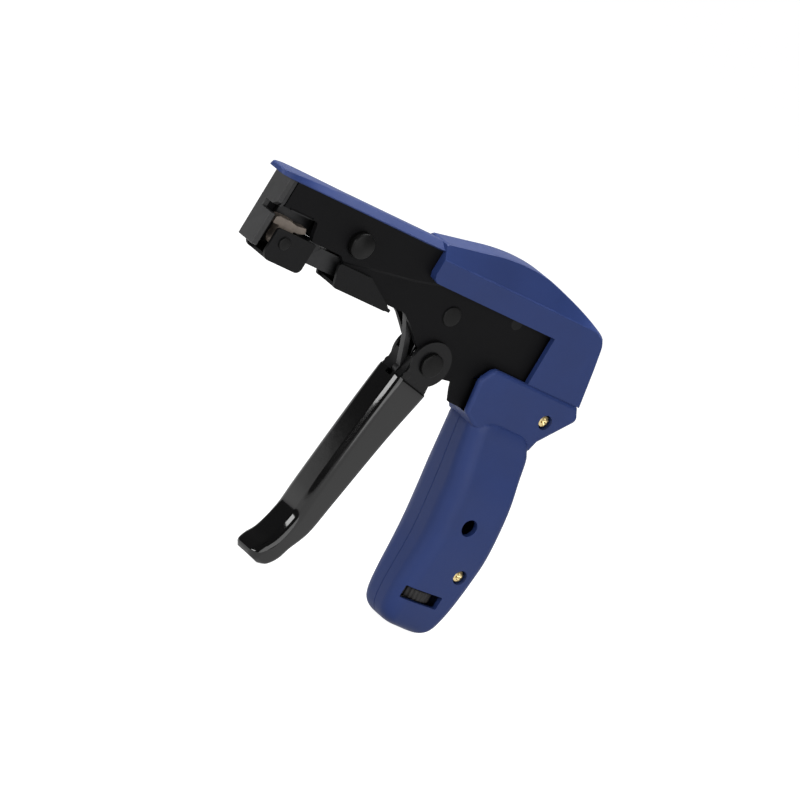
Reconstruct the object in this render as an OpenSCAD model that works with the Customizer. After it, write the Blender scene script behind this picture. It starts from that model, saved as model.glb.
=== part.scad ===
// Hand tool that tightens a cable tie round a bundle and cuts off the spare tail.
// The origin is on the nose's front face, mid-width, just below the tie slot.
// X runs from the nose towards the grip, Z is up, and the tool's left side faces -Y.

/* [Side plates] */
// Width over both stamped side plates
frame_w = 10.2; // [9.8:0.1:10.8]
// Thickness of each side plate
plate_t = 2; // [1.6:0.1:2.2]
// Height of the plates' straight top edge
barrel_top = 18.4; // [18.2:0.1:19]
// Height of the plates' lower edge ahead of the lower guide
barrel_low = 1; // [0.9:0.1:1.2]
// Distance from the nose face to the plates' rear edge
frame_l = 167.5; // [166:0.5:168]
// Depth of the plates below the origin
frame_drop = 28; // [27.5:0.1:28.5]
// Radius of the rivet ahead of the rocker
rivet_r = 2.5; // [2.2:0.1:2.6]
// Radius of that rivet's heads
rivet_head_r = 3.85; // [3.6:0.05:4.2]

/* [Nose] */
// Thickness of the hardened nose plate
nose_t = 2.4; // [2:0.1:2.5]
// Depth of the nose plate below the origin
nose_drop = 8.6; // [8:0.1:9]
// Height of the middle of the tie slot
slot_z = 6; // [5.8:0.1:6.1]
// Height of the tie slot
slot_h = 2.8; // [2.4:0.1:3]
// Depth of the tie slot from the left side
slot_depth = 6; // [5.8:0.1:6.2]
// Gap behind the nose plate in which the blade slides
blade_gap = 1.9; // [1.85:0.05:2.1]
// Length of the side window over the gripper
window_l = 17.2; // [17:0.1:18]
// Height of the side window's upper edge
window_top = 8.2; // [8.1:0.1:8.6]
// Length of the nose plate's riveted rear tab
tab_l = 13.6; // [13.4:0.1:15]
// Radius of the nose rivets
nose_rivet_r = 1.4; // [1.2:0.1:1.6]

/* [Cutter] */
// Thickness of the cutter blade
blade_t = 1.5; // [1.4:0.05:1.6]
// Height of the cutter blade
blade_h = 10.6; // [10.4:0.1:10.8]
// Place of the cutter lever's pivot, as a share of the plates' length
cutter_share = 0.259; // [0.257:0.001:0.262]
// Height of the cutter lever's pivot
cutter_z = 7.7; // [7.6:0.1:7.9]
// Radius of the cutter pivot's shank
cutter_pin_r = 3; // [2.8:0.1:3.1]
// Radius of the cutter pivot's large head
cutter_head_r = 5; // [4.6:0.1:5.2]
// Height of the cutter pivot's large head
cutter_head_h = 3.6; // [3.2:0.1:3.8]
// Thickness of the cutter lever
lever_t = 3; // [2.8:0.1:3.1]

/* [Gripper] */
// Distance from the nose face to the front of the gripper carriage
carriage_x = 6.1; // [6.1:0.1:6.4]
// Length of the gripper carriage
carriage_l = 19.1; // [18.9:0.1:19.3]
// Depth of the gripper carriage below the origin
carriage_drop = 11.5; // [11.4:0.1:11.7]
// Sheet thickness of the carriage and the lower guide
sheet_t = 1.2; // [1.1:0.05:1.3]
// Distance from the nose face to the pawl's pin
pawl_x = 11.9; // [11.8:0.1:12]
// Depth of the pawl's pin below the origin
pawl_drop = 3.5; // [3.4:0.1:3.6]
// Radius of the pawl's pin
pawl_pin_r = 1.6; // [1.5:0.05:1.7]
// Width of the toothed pawl
pawl_w = 4; // [3.8:0.1:4.1]
// Height of the pull bar
bar_h = 7.2; // [7:0.1:7.3]
// Width of the pull bar
bar_w = 5.6; // [5.4:0.1:5.7]
// Depth of the pull bar's middle line below the origin
bar_drop = 3.7; // [3.6:0.05:3.8]
// Place of the pin at the pull bar's rear end, as a share of the plates' length
bar_pin_share = 0.4776; // [0.4766:0.0002:0.4786]
// Radius of the pull bar's pin
bar_pin_r = 1.7; // [1.6:0.05:1.75]

/* [Lower guide] */
// Place of the lower guide's front, as a share of the plates' length
guide_share = 0.2324; // [0.2318:0.0002:0.235]
// Length of the lower guide, as a share of the plates' length
guide_l_share = 0.2062; // [0.198:0.0002:0.21]
// Depth of the lower guide below the origin
guide_drop = 10.4; // [10.3:0.1:10.6]

/* [Trigger] */
// Place of the trigger's pivot, as a share of the plates' length
trigger_share = 0.6042; // [0.603:0.0002:0.6054]
// Depth of the trigger's pivot below the origin
trigger_drop = 20.8; // [20.7:0.1:20.9]
// Radius of the trigger's pivot pin
trigger_pin_r = 2.4; // [2.2:0.05:2.45]
// Radius of the trigger pivot's heads
trigger_head_r = 4.6; // [4.2:0.1:4.8]
// Height of the trigger pivot's heads
trigger_head_h = 1.7; // [1.5:0.1:1.8]
// Radius of the trigger's ears
ear_r = 8.9; // [8.6:0.1:9.1]
// Sheet thickness of the trigger
trigger_t = 1.4; // [1.2:0.1:1.5]
// Width of the trigger over its coating
trigger_w = 15; // [14.9:0.1:15.4]
// Distance from the trigger's pivot to its toe
trigger_l = 91.6; // [90:0.2:93]
// Depth of the trigger from front to back at the top of its coating
trigger_depth = 16.5; // [16.3:0.1:16.8]
// Thickness of the trigger's dip coating
coat_t = 0.9; // [0.8:0.05:1]
// Radius of the drive link's pin in the trigger
link_pin_r = 1.7; // [1.6:0.05:1.75]
// Distance of the drive link's pin ahead of the trigger's pivot
link_ahead = 7.2; // [7.1:0.1:7.3]
// Distance of the drive link's pin below the trigger's pivot
link_below = 7.2; // [7.1:0.1:7.3]
// Thickness of the drive link
link_t = 2.6; // [2.4:0.1:2.7]
// Wire diameter of the trigger's return spring
return_wire = 0.8; // [0.6:0.05:0.85]

/* [Tension linkage] */
// Distance from the rocker's pin back to the middle of the thumbwheel
rocker_ahead = 25.8; // [25.6:0.1:26]
// Height of the rocker's pin
rocker_z = 6; // [5.9:0.05:6.1]
// Radius of the rocker's pin
rocker_pin_r = 2.5; // [2.3:0.1:2.6]
// Thickness of the rocker
rocker_t = 5; // [4.6:0.1:5.4]
// Length of the rocker's front arm
rocker_front = 24; // [23.9:0.1:24.1]
// Length of the rocker's rear arm
rocker_rear = 19.6; // [19.5:0.1:19.7]
// Lean of the tension rod in degrees, top towards the nose
rod_lean = 3.5; // [3.45:0.05:3.55]
// Radius of the tension rod
rod_r = 2.5; // [2.3:0.05:2.6]
// Wire diameter of the tension spring
spring_wire = 1.6; // [1.4:0.1:1.7]
// Outer diameter of the tension spring
spring_od = 10.8; // [10.4:0.1:11]
// Number of turns in the tension spring
spring_turns = 8; // [6:1:9]

/* [Thumbwheel] */
// Place of the thumbwheel behind the neck, as a share of the handle's depth
wheel_depth_share = 0.722; // [0.717:0.001:0.727]
// Place of the thumbwheel below the seam, as a share of the handle's length
wheel_drop_share = 0.8536; // [0.852:0.0004:0.8552]
// Radius of the thumbwheel
wheel_r = 9.6; // [9.2:0.1:9.7]
// Thickness of the thumbwheel
wheel_t = 4.4; // [4.2:0.1:4.6]
// Number of ribs on the thumbwheel
wheel_ribs = 32; // [24:2:40]
// Radius of the tension screw
screw_r = 2.6; // [2.4:0.1:2.7]
// Width of the square tension nut
nut_w = 9; // [8.6:0.1:9.2]
// Thickness of the tension nut
nut_t = 5; // [4.6:0.1:5.2]

/* [Top cover] */
// Width of the cover's nose strip
strip_w = 12.2; // [11.8:0.1:13]
// Thickness of the cover's nose strip
strip_t = 2.7; // [2.5:0.1:2.9]
// Distance that the strip stands out ahead of the nose face
strip_over = 4; // [3.6:0.1:4.2]
// Place of the rear housing's front, as a share of the plates' length
housing_share = 0.4728; // [0.472:0.0002:0.477]
// Width of the rear housing
housing_w = 17; // [16.8:0.1:17.4]
// Height of the housing's top at its hump
hump_top = 26.6; // [26.4:0.1:27]
// Height of the crease along the housing's sides
crease_top = 16.7; // [16.4:0.1:16.9]
// Height of the housing's lower side edge
housing_low = 7.3; // [7.2:0.1:7.6]
// Depth of the seam between the housing and the handle
seam_drop = 11.9; // [11.8:0.1:12]
// Distance that the housing's back stands out behind the plates, at the seam
housing_over = 5.2; // [5:0.1:5.5]
// Wall of the cover at its sides and roof
cover_wall = 2.1; // [1.9:0.1:2.2]
// Radius of the cover's pins
cover_pin_r = 1.5; // [1.3:0.1:1.6]

/* [Handle] */
// Length of the handle from its top seam to its butt
grip_l = 103.1; // [102.8:0.1:103.5]
// Thickness of the handle at its thickest
grip_w = 24.8; // [24.6:0.1:25.2]
// Place of the front of the handle's neck, as a share of the plates' length
neck_share = 0.788; // [0.7874:0.0002:0.7886]
// Depth of the handle from front to back
grip_depth = 30.2; // [30:0.1:30.5]
// Width over the handle's upper flanges
flange_w = 18.8; // [18.6:0.1:19.2]
// Height of the handle's upper flanges
flange_h = 22.6; // [22.4:0.1:22.8]
// Distance that the handle's heel stands out behind the plates
heel_over = 7.6; // [7.2:0.1:8]
// Wall thickness of the moulded shells
shell_t = 2.2; // [2:0.1:2.3]
// Radius of the sight hole in the left shell
sight_r = 3.4; // [3.2:0.1:3.5]
// Length of the thumbwheel window
opening_l = 17.6; // [17:0.1:18]
// Height of the thumbwheel window
opening_h = 5.2; // [5.1:0.05:5.4]
// Radius of the handle screws' shanks
handle_screw_r = 1.45; // [1.4:0.05:1.5]
// Radius of the handle screws' heads
handle_head_r = 2.5; // [2.4:0.05:2.6]
// Radius of the recesses for the handle screws' heads
recess_r = 2.9; // [2.8:0.05:3]

/* [Hidden] */
$fn = 48;

blue = [0.21, 0.28, 0.5];
black = [0.12, 0.12, 0.13];
gloss_black = [0.07, 0.07, 0.08];
steel = [0.6, 0.58, 0.55];
yellow_zinc = [0.78, 0.66, 0.38];

// Radial clearance of every pin that something turns on
running_gap = 0.05;
// Gap between pieces that slide past each other
slide_gap = 0.2;
// Overrun of every cut past the face that it opens
over = 1;
// Points along each rounded corner of an outline
corner_steps = 5;
// Half angle in degrees above which a corner of an outline counts as straight
straight_half = 88;

cutter_x = cutter_share * frame_l;
bar_pin_x = bar_pin_share * frame_l;
guide_x = guide_share * frame_l;
guide_l = guide_l_share * frame_l;
trigger_x = trigger_share * frame_l;
housing_x = housing_share * frame_l;
housing_end = frame_l + housing_over;
grip_x = neck_share * frame_l;
heel_x = frame_l + heel_over;
wheel_x = grip_x + wheel_depth_share * grip_depth;
wheel_drop = seam_drop + wheel_drop_share * grip_l;
rocker_x = wheel_x - rocker_ahead;
half_frame = frame_w / 2;
half_gap = half_frame - plate_t;
half_bar = bar_w / 2;
trigger_at = [trigger_x, -trigger_drop];
cutter_at = [cutter_x, cutter_z];
rocker_at = [rocker_x, rocker_z];
pawl_at = [pawl_x, -pawl_drop];
bar_pin_at = [bar_pin_x, -bar_drop];
link_pin_at = trigger_at - [link_ahead, link_below];

// Unit vector along a direction
function unit(v) = v / norm(v);

// Points of a fillet of radius r at q, between its neighbours p and s
function fillet(p, q, s, r) =
    let (a = unit(p - q), b = unit(s - q), half = acos(max(-1, min(1, a * b))) / 2)
    r <= 0 || half > straight_half ? [q] :
    let (reach = min(r / tan(half), norm(p - q) / 2, norm(s - q) / 2),
         turn = reach * tan(half),
         middle = q + unit(a + b) * turn / sin(half),
         first = unit(q + a * reach - middle),
         last = unit(q + b * reach - middle))
    [for (i = [0:corner_steps]) middle + turn * unit(first * (corner_steps - i) + last * i)];

// Outline whose corners, each [across, up, fillet radius], are rounded
function outline(corners) =
    let (n = len(corners), at = [for (c = corners) [c.x, c.y]])
    [for (i = [0:n - 1]) each fillet(at[(i + n - 1) % n], at[i], at[(i + 1) % n], corners[i].z)];

// Corners given as shares of a size, from a point
function placed(shares, from, size) =
    [for (s = shares) [from.x + s.x * size.x, from.y + s.y * size.y, s.z * size.x]];

// Counterclockwise outline drawn in by a distance
function drawn_in(points, by) =
    let (n = len(points))
    [for (i = [0:n - 1])
        let (a = unit(points[i] - points[(i + n - 1) % n]),
             b = unit(points[(i + 1) % n] - points[i]),
             normal = unit([-a.y - b.y, a.x + b.x]))
        points[i] + normal * by / (normal * [-a.y, a.x])];

// List in the opposite order
function reversed(list) = [for (i = [len(list) - 1:-1:0]) list[i]];

// Solid through a row of rings with equal numbers of points
module skin(rings) {
    n = len(rings[0]);
    last = len(rings) - 1;
    sides = [for (k = [0:last - 1]) for (i = [0:n - 1])
        let (a = k * n + i, b = k * n + (i + 1) % n, c = a + n, d = b + n)
        each [[a, c, b], [b, c, d]]];
    caps = [[for (i = [0:n - 1]) i], [for (i = [n - 1:-1:0]) last * n + i]];
    polyhedron([for (ring = rings) each ring], concat(sides, caps));
}

// Flat piece in the XZ plane, between two places across the tool
module slab(from, to) {
    translate([0, to, 0]) rotate([90, 0, 0]) linear_extrude(to - from) children();
}

// Box between its low and its high corner
module box(low, high) {
    translate(low) cube(high - low);
}

// Round pin across the tool
module pin(at, from, to, r) {
    translate([at.x, to, at.y]) rotate([90, 0, 0]) cylinder(r = r, h = to - from);
}

// Low domed head whose flat side lies at y, on the side that side points to
module head(at, y, side, r, h) {
    translate([at.x, y, at.y]) rotate([-90 * side, 0, 0]) {
        cylinder(r = r, h = h / 2);
        translate([0, 0, h / 2]) cylinder(r1 = r, r2 = r * 0.78, h = h / 2);
    }
}

// Flat piece with its outer edge rounded, on the left side of the mid-plane
module pillow(points, from, to, edge) {
    steps = 3;
    rise = [for (i = [0:steps]) [to - edge * (1 - sin(i * 90 / steps)), edge * (1 - cos(i * 90 / steps))]];
    skin([for (level = concat([[from, 0]], rise))
        [for (p = drawn_in(points, level.y)) [p.x, -level.x, p.y]]]);
}

// Tube of 6 sides along a path whose frames turn about the axis Z
module coil(radius, wire, pitch, turns, lead) {
    rings_per_turn = 8;
    count = ceil(turns * rings_per_turn);
    path = [for (i = [0:count]) let (a = i * 360 * turns / count)
        [radius * cos(a), radius * sin(a), pitch * a / 360]];
    start = path[0] - [0, lead.x, 0];
    end_angle = 360 * turns;
    finish = path[count] + lead.y * [-sin(end_angle), cos(end_angle), 0];
    line = concat([start], path, [finish]);
    angles = concat([0], [for (i = [0:count]) i * 360 * turns / count], [end_angle]);
    skin([for (k = [0:len(line) - 1]) [for (j = [0:5])
        let (out = [cos(angles[k]), sin(angles[k]), 0])
        line[k] + wire / 2 * (cos(-60 * j) * out + sin(-60 * j) * [0, 0, 1])]]);
}

// Side plates

plate_x = nose_t + blade_gap;
window_end = plate_x + window_l;
window_slant = plate_t * 0.5;
leg_end = nose_t + plate_t * 1.6;
// Belly of the plates from the lower guide to the trigger, as shares of their length and drop
belly_shares = [[0.2985, -0.286, 0.02], [0.4687, -0.286, 0.02], [0.4985, -0.379, 0.02],
                [0.5266, -0.507, 0.02], [0.5445, -0.593, 0.01], [0.5624, -0.643, 0.01]];
// Edge of the plates from the trigger round the rear to the top, as shares of the same sizes
rear_shares = [[0.642, -0.914, 0.02], [0.6627, -0.864, 0.02], [0.6943, -0.836, 0.02],
               [0.7224, -0.75, 0.02], [0.7582, -0.554, 0.02], [0.794, -0.536, 0.02],
               [0.818, -0.714, 0.02], [0.8955, -1, 0.03], [0.9635, -1, 0.02],
               [1, -0.7, 0.02], [0.991, -0.43, 0.01], [0.973, 0, 0.02]];
// Height share of the plates' cut top rear corner, and its length as a share of the frame
rear_cut_shares = [0.943, 0.836, 0.464];
lobe_r = trigger_head_r + plate_t * 1.3;
// Places of the rivets that hold the plates apart, as shares of the frame's length and drop
rivet_shares = [[0.5904, -0.066], [0.928, 0.2], [0.537, 0.585]];
hidden_rivet_r = 1.4;
rivet_head_h = 0.7;
rivet_at = [for (s = rivet_shares) [s.x * frame_l, s.y * frame_drop]];
cover_pin_ahead = 10;
cover_pin_behind = 8;
cover_pin_z = 15.5;
cover_pin_at = [[rocker_x - cover_pin_ahead, cover_pin_z], [rocker_x + cover_pin_behind, cover_pin_z]];
tab_rivet_front = 4.6;
tab_rivet_pitch = 5.5;
tab_rivet_z = 13.5;
nose_rivet_at = [for (i = [0:1]) [nose_t + tab_rivet_front + i * tab_rivet_pitch, tab_rivet_z]];
ear_screw_inset = 6.1;
ear_screw_rise = 6;
// Place of the lower grip screw, as shares of the handle's depth and length
grip_screw_shares = [1.05, 0.7294];
grip_screw_at = [grip_x + grip_screw_shares.x * grip_depth, -seam_drop - grip_screw_shares.y * grip_l];
ear_screw_at = [frame_l - ear_screw_inset, -frame_drop + ear_screw_rise];

// Outline of one side plate, from the front of its lower edge round to its top
function plate_outline(front) = concat(
    front,
    [[guide_x, barrel_low, 0]],
    placed(belly_shares, [0, 0], [frame_l, frame_drop]),
    [[trigger_x, -trigger_drop, 0]],
    placed(rear_shares, [0, 0], [frame_l, frame_drop]),
    [[rear_cut_shares.x * frame_l, rear_cut_shares.z * frame_drop, plate_t],
     [rear_cut_shares.y * frame_l, barrel_top, plate_t]]);

module plate(front, from, to) {
    difference() {
        slab(from, to) union() {
            polygon(outline(plate_outline(front)));
            translate(trigger_at) circle(lobe_r);
        }
        pin(cutter_at, from - over, to + over, cutter_pin_r);
        pin(trigger_at, from - over, to + over, trigger_pin_r);
        pin(rocker_at, from - over, to + over, rocker_pin_r);
        pin(rivet_at[0], from - over, to + over, rivet_r);
        for (i = [1:2]) pin(rivet_at[i], from - over, to + over, hidden_rivet_r);
        for (at = cover_pin_at) pin(at, from - over, to + over, cover_pin_r);
        pin(ear_screw_at, from - over, to + over, handle_screw_r + slide_gap);
        children();
    }
}

module left_side_plate() color(black) {
    window_front = [[plate_x, barrel_top, 0],
                    [plate_x, window_top, 0],
                    [window_end, window_top, window_slant],
                    [window_end + plate_t, barrel_low, window_slant]];
    plate(window_front, -half_frame, -half_gap)
        // Slanted lead-in that guides the tie into the window
        translate([(plate_x + window_end) / 2, -half_frame, window_top])
            rotate([45, 0, 0])
                cube([window_l * 0.7, plate_t * 0.55, plate_t * 0.55], center = true);
}

module right_side_plate() color(black) {
    leg_front = [[nose_t, barrel_top, 0],
                 [nose_t, -nose_drop, 0],
                 [leg_end, -nose_drop, plate_t * 0.5],
                 [leg_end, barrel_low, plate_t * 0.5]];
    plate(leg_front, half_gap, half_frame)
        for (at = nose_rivet_at) pin(at, half_gap - over, half_frame + over, nose_rivet_r);
}

// Nose plate with its tie slot, open to the left, and its riveted tab

slot_end = slot_depth - half_frame;
nose_bevel = 0.9;
slot_low = slot_z - slot_h / 2;
slot_top = slot_z + slot_h / 2;
tab_t = plate_t;
tab_low = 10.4;
tab_rise = 7.1;

module nose_plate() color(black) difference() {
    union() {
        box([0, -half_frame, -nose_drop], [nose_t, half_frame, barrel_top]);
        slab(half_gap - tab_t, half_gap) polygon(outline([
            [nose_t - over, tab_low, 0],
            [nose_t + tab_l, tab_low, tab_t],
            [nose_t + tab_l, tab_low + tab_rise, tab_t],
            [nose_t - over, tab_low + tab_rise, 0]]));
    }
    box([-over, -half_frame - over, slot_low], [nose_t + over, slot_end, slot_top]);
    // Lead-in above the slot's mouth
    translate([0, -half_frame, slot_top]) rotate([45, 0, 0])
        cube([nose_t * 3, slot_h * 0.8, slot_h * 0.8], center = true);
    // Bevel along the right edge
    translate([0, half_frame, 0]) rotate([0, 0, 45])
        cube([nose_bevel * sqrt(2), nose_bevel * sqrt(2), 3 * barrel_top], center = true);
    for (at = nose_rivet_at) pin(at, -half_gap, half_frame, nose_rivet_r);
}

module nose_rivets() color(black)
    for (at = nose_rivet_at) {
        pin(at, half_gap - tab_t, half_frame, nose_rivet_r);
        head(at, half_frame, 1, nose_rivet_r * 1.6, rivet_head_h);
    }

module frame_rivets() color(black) {
    pin(rivet_at[0], -half_frame, half_frame, rivet_r);
    for (side = [-1, 1]) head(rivet_at[0], side * half_frame, side, rivet_head_r, rivet_head_h);
    for (i = [1:2]) pin(rivet_at[i], -half_frame, half_frame, hidden_rivet_r);
}

// Lower guide, a sheet folded under the plates

guide_wall_top = 1.4;
guide_front_slope = 3.6;
guide_top_share = 0.49;

module lower_guide() color(black) {
    wall = outline([
        [guide_x, -guide_wall_top, sheet_t],
        [guide_x + guide_front_slope, -guide_drop, sheet_t],
        [guide_x + guide_l, -guide_drop, sheet_t],
        [guide_x + guide_l * guide_top_share, -guide_wall_top, sheet_t]]);
    for (y = [-half_frame - sheet_t, half_frame]) slab(y, y + sheet_t) polygon(wall);
    box([guide_x + guide_front_slope + sheet_t, -half_frame, -guide_drop],
        [guide_x + guide_l - sheet_t, half_frame, -guide_drop + sheet_t]);
}

// Cutter: pivot, lever and blade

cutter_tail_head_h = 1.2;
lever_y = half_gap - tab_t - slide_gap - lever_t;
lever_boss_r = cutter_pin_r * 1.5;
lever_low = 12.8;
lever_top = 17;
lever_tip = nose_t + 0.25 * nose_t;
tip_h = 2;
tail_low = 5.7;
tail_top = 10.5;
nose_r = 2;
tail_end = rocker_x - rocker_front + nose_r * 0.6;
blade_play = 0.15;
blade_low = slot_top + slide_gap;
window_low = 13.4;
window_h = 2.8;

module cutter_pivot() color(black) {
    pin(cutter_at, -half_frame, half_frame, cutter_pin_r);
    head(cutter_at, -half_frame, -1, cutter_head_r, cutter_head_h);
    head(cutter_at, half_frame, 1, cutter_head_r * 0.8, cutter_tail_head_h);
}

module cutter_lever() color(steel) difference() {
    slab(lever_y, lever_y + lever_t) union() {
        polygon(outline([
            [plate_x + lever_t * 0.7, lever_top, lever_t * 0.5],
            [plate_x + lever_t * 0.7, window_low + window_h / 2 + tip_h / 2, 0],
            [lever_tip, window_low + window_h / 2 + tip_h / 2, tip_h * 0.2],
            [lever_tip, window_low + window_h / 2 - tip_h / 2, tip_h * 0.2],
            [plate_x + lever_t * 0.7, window_low + window_h / 2 - tip_h / 2, 0],
            [plate_x + lever_t * 0.7, lever_low, 0],
            [cutter_x - lever_boss_r * 1.6, lever_low, lever_boss_r],
            [cutter_x - lever_boss_r * 0.7, cutter_z - lever_boss_r * 0.7, 0],
            [cutter_x + lever_boss_r * 0.7, cutter_z - lever_boss_r * 0.7, lever_boss_r],
            [cutter_x + lever_boss_r * 2.6, tail_low, lever_boss_r],
            [tail_end, tail_low, lever_t * 0.3],
            [tail_end, tail_top, lever_t * 0.5],
            [cutter_x + lever_boss_r * 2, tail_top, lever_boss_r],
            [cutter_x - lever_boss_r * 0.4, lever_top, lever_boss_r]]));
        translate(cutter_at) circle(lever_boss_r);
    }
    pin(cutter_at, -half_frame, half_frame, cutter_pin_r + running_gap);
}

module cutter_blade() color(steel) difference() {
    box([nose_t + blade_play, -half_frame + slide_gap, blade_low],
        [nose_t + blade_play + blade_t, half_gap - tab_t - slide_gap, blade_low + blade_h]);
    box([0, lever_y - slide_gap, window_low],
        [plate_x, lever_y + lever_t + slide_gap, window_low + window_h]);
    // Ground cutting edge
    translate([nose_t + blade_play + blade_t, 0, blade_low]) rotate([0, 30, 0])
        cube([blade_t, frame_w + over, blade_t * 2], center = true);
}

// Gripper: carriage, pull bar, toothed pawl and their pins

wall_y = half_frame + slide_gap;
carriage_top = 0.8;
carriage_end = carriage_x + carriage_l;
jaw_low = slot_top + slide_gap;
jaw_h = 2.2;
jaw_l = 12;
cheek_t = bar_w * 0.27;
cheek_x = carriage_x + sheet_t * 1.2;
block_l = 5.3;
block_x = carriage_end - sheet_t / 2 - block_l;
block_top = carriage_top - sheet_t * 0.4;
bar_front = block_x;
bar_low = -bar_drop - bar_h / 2;
bar_top = -bar_drop + bar_h / 2;
bar_eye_r = bar_h / 2;
bar_step_h = 1.1;
lap_y = slide_gap;

module gripper_carriage() color(black) difference() {
    union() {
        wall = outline([
            [carriage_x, carriage_top, sheet_t],
            [carriage_x, -carriage_drop, sheet_t * 2.6],
            [carriage_end, -carriage_drop, sheet_t * 2],
            [carriage_end, carriage_top, sheet_t * 0.6]]);
        for (y = [-wall_y - sheet_t, wall_y]) slab(y, y + sheet_t) polygon(wall);
        box([carriage_x + sheet_t * 2.6, -wall_y, -carriage_drop],
            [carriage_end - sheet_t * 2, wall_y, -carriage_drop + sheet_t]);
    }
    pin(pawl_at, -wall_y - sheet_t - over, wall_y + sheet_t + over, pawl_pin_r);
}

module pull_bar() color(steel) difference() {
    union() {
        slab(-half_bar, half_bar) polygon(outline([
            [bar_front, bar_low, 0],
            [bar_pin_x - bar_eye_r - slide_gap * 2, bar_low, 0],
            [bar_pin_x - bar_eye_r - slide_gap * 2, bar_top, 0],
            [block_x + block_l * 2.2, bar_top, bar_step_h],
            [block_x + block_l * 1.8, bar_top + bar_step_h, bar_step_h],
            [block_x + block_l, bar_top + bar_step_h, 0],
            [block_x + block_l, bar_top, 0],
            [bar_front, bar_top, 0]]));
        slab(lap_y, half_bar) union() {
            polygon([[bar_front, bar_low], [bar_pin_x, bar_low], [bar_pin_x, bar_top], [bar_front, bar_top]]);
            translate(bar_pin_at) circle(bar_eye_r);
        }
        box([block_x, -wall_y, -carriage_drop + sheet_t],
            [block_x + block_l, wall_y, block_top]);
        slab(half_bar - cheek_t, half_bar) polygon(outline([
            [cheek_x, bar_low, sheet_t],
            [bar_front + block_l, bar_low, 0],
            [bar_front + block_l, jaw_low + jaw_h, sheet_t],
            [cheek_x, jaw_low + jaw_h, sheet_t]]));
        slab(-half_bar, half_bar) polygon(outline([
            [cheek_x + jaw_h, jaw_low, 0],
            [cheek_x + jaw_h + jaw_l, jaw_low, jaw_h * 0.4],
            [cheek_x + jaw_h + jaw_l, jaw_low + jaw_h, jaw_h * 0.4],
            [cheek_x + jaw_h, jaw_low + jaw_h, jaw_h * 0.4]]));
    }
    pin(pawl_at, 0, wall_y, pawl_pin_r);
    pin(bar_pin_at, 0, half_frame, bar_pin_r);
}

pawl_y = half_bar - cheek_t - slide_gap - pawl_w;
pawl_front = 5.4;
pawl_l = 15.9;
pawl_low = carriage_top + slide_gap;
pawl_top = slot_low - slide_gap;
pawl_teeth = 9;
tooth_h = 0.45;
tooth_l = pawl_l * 0.042;

module gripper_pawl() color(steel) difference() {
    teeth = [for (i = [0:pawl_teeth - 1]) each
        [[pawl_front + pawl_l * 0.48 - i * tooth_l, pawl_top - tooth_h],
         [pawl_front + pawl_l * 0.48 - i * tooth_l, pawl_top]]];
    slab(pawl_y, pawl_y + pawl_w) union() {
        polygon(concat(
            [[pawl_front, pawl_low],
             [pawl_front + pawl_l * 0.8, pawl_low],
             [pawl_front + pawl_l, pawl_low + tooth_h * 2],
             [pawl_front + pawl_l * 0.94, pawl_top - tooth_h],
             [pawl_front + pawl_l * 0.66, pawl_top - tooth_h * 2]],
            teeth,
            [[pawl_front, pawl_top - tooth_h * 2]]));
        polygon(outline([
            [pawl_x - pawl_pin_r * 2, pawl_low + tooth_h, 0],
            [pawl_x - pawl_pin_r * 2, -pawl_drop, 0],
            [pawl_x + pawl_pin_r * 2, -pawl_drop, 0],
            [pawl_x + pawl_pin_r * 2.6, pawl_low + tooth_h, 0]]));
        translate(pawl_at) circle(pawl_pin_r * 2);
    }
    pin(pawl_at, -half_frame, half_frame, pawl_pin_r + running_gap);
}

pin_head_h = 0.8;

module pawl_pin() color(steel) {
    pin(pawl_at, -wall_y - sheet_t, wall_y + sheet_t, pawl_pin_r);
    head(pawl_at, -wall_y - sheet_t, -1, pawl_pin_r * 1.5, pin_head_h);
    head(pawl_at, wall_y + sheet_t, 1, pawl_pin_r * 1.5, pin_head_h);
}

pawl_wire = 0.5;
pawl_coil_r = pawl_pin_r + pawl_wire;
pawl_coil_turns = 1.5;
pawl_coil_pitch = pawl_wire * 1.9;

module pawl_spring() color(steel)
    translate([pawl_x, -wall_y + pawl_wire / 2, -pawl_drop]) rotate([-90, 0, 0])
        rotate([0, 0, 180]) coil(pawl_coil_r, pawl_wire, pawl_coil_pitch, pawl_coil_turns,
                                 [pawl_coil_r * 1.7, pawl_coil_r * 2.2]);

module bar_pin() color(steel) pin(bar_pin_at, -half_gap + slide_gap, half_bar, bar_pin_r);

// Drive link from the trigger to the pull bar. Its upper eye is loose on the bar's pin,
// because the pin travels straight while the link swings.

link_play = 0.42;
link_y = -slide_gap / 2;
link_eye_r = link_pin_r * 1.5;

module drive_link() color(steel) difference() {
    along = unit(bar_pin_at - link_pin_at);
    aside = [-along.y, along.x];
    middle = (bar_pin_at + link_pin_at) / 2;
    half_link = link_eye_r * 0.47;
    slab(link_y - link_t, link_y) union() {
        translate(link_pin_at) circle(link_eye_r);
        translate(bar_pin_at) circle(bar_eye_r);
        polygon([link_pin_at - aside * half_link, middle - aside * 2 * half_link,
                 bar_pin_at - aside * half_link, bar_pin_at + aside * half_link,
                 middle, link_pin_at + aside * half_link]);
    }
    pin(link_pin_at, -half_frame, half_frame, link_pin_r + running_gap);
    pin(bar_pin_at, -half_frame, half_frame, bar_pin_r + link_play);
}

// Trigger: steel channel, dip coating, pins and return spring

channel_y = trigger_w / 2 - coat_t - trigger_t;
wall_top_drop = 0.7;
slot_side_gap = slide_gap * 2;
// Depth of the coating's top below the pivot, just under the link's pin
sleeve_top = link_below + link_pin_r * 0.72;
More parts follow.
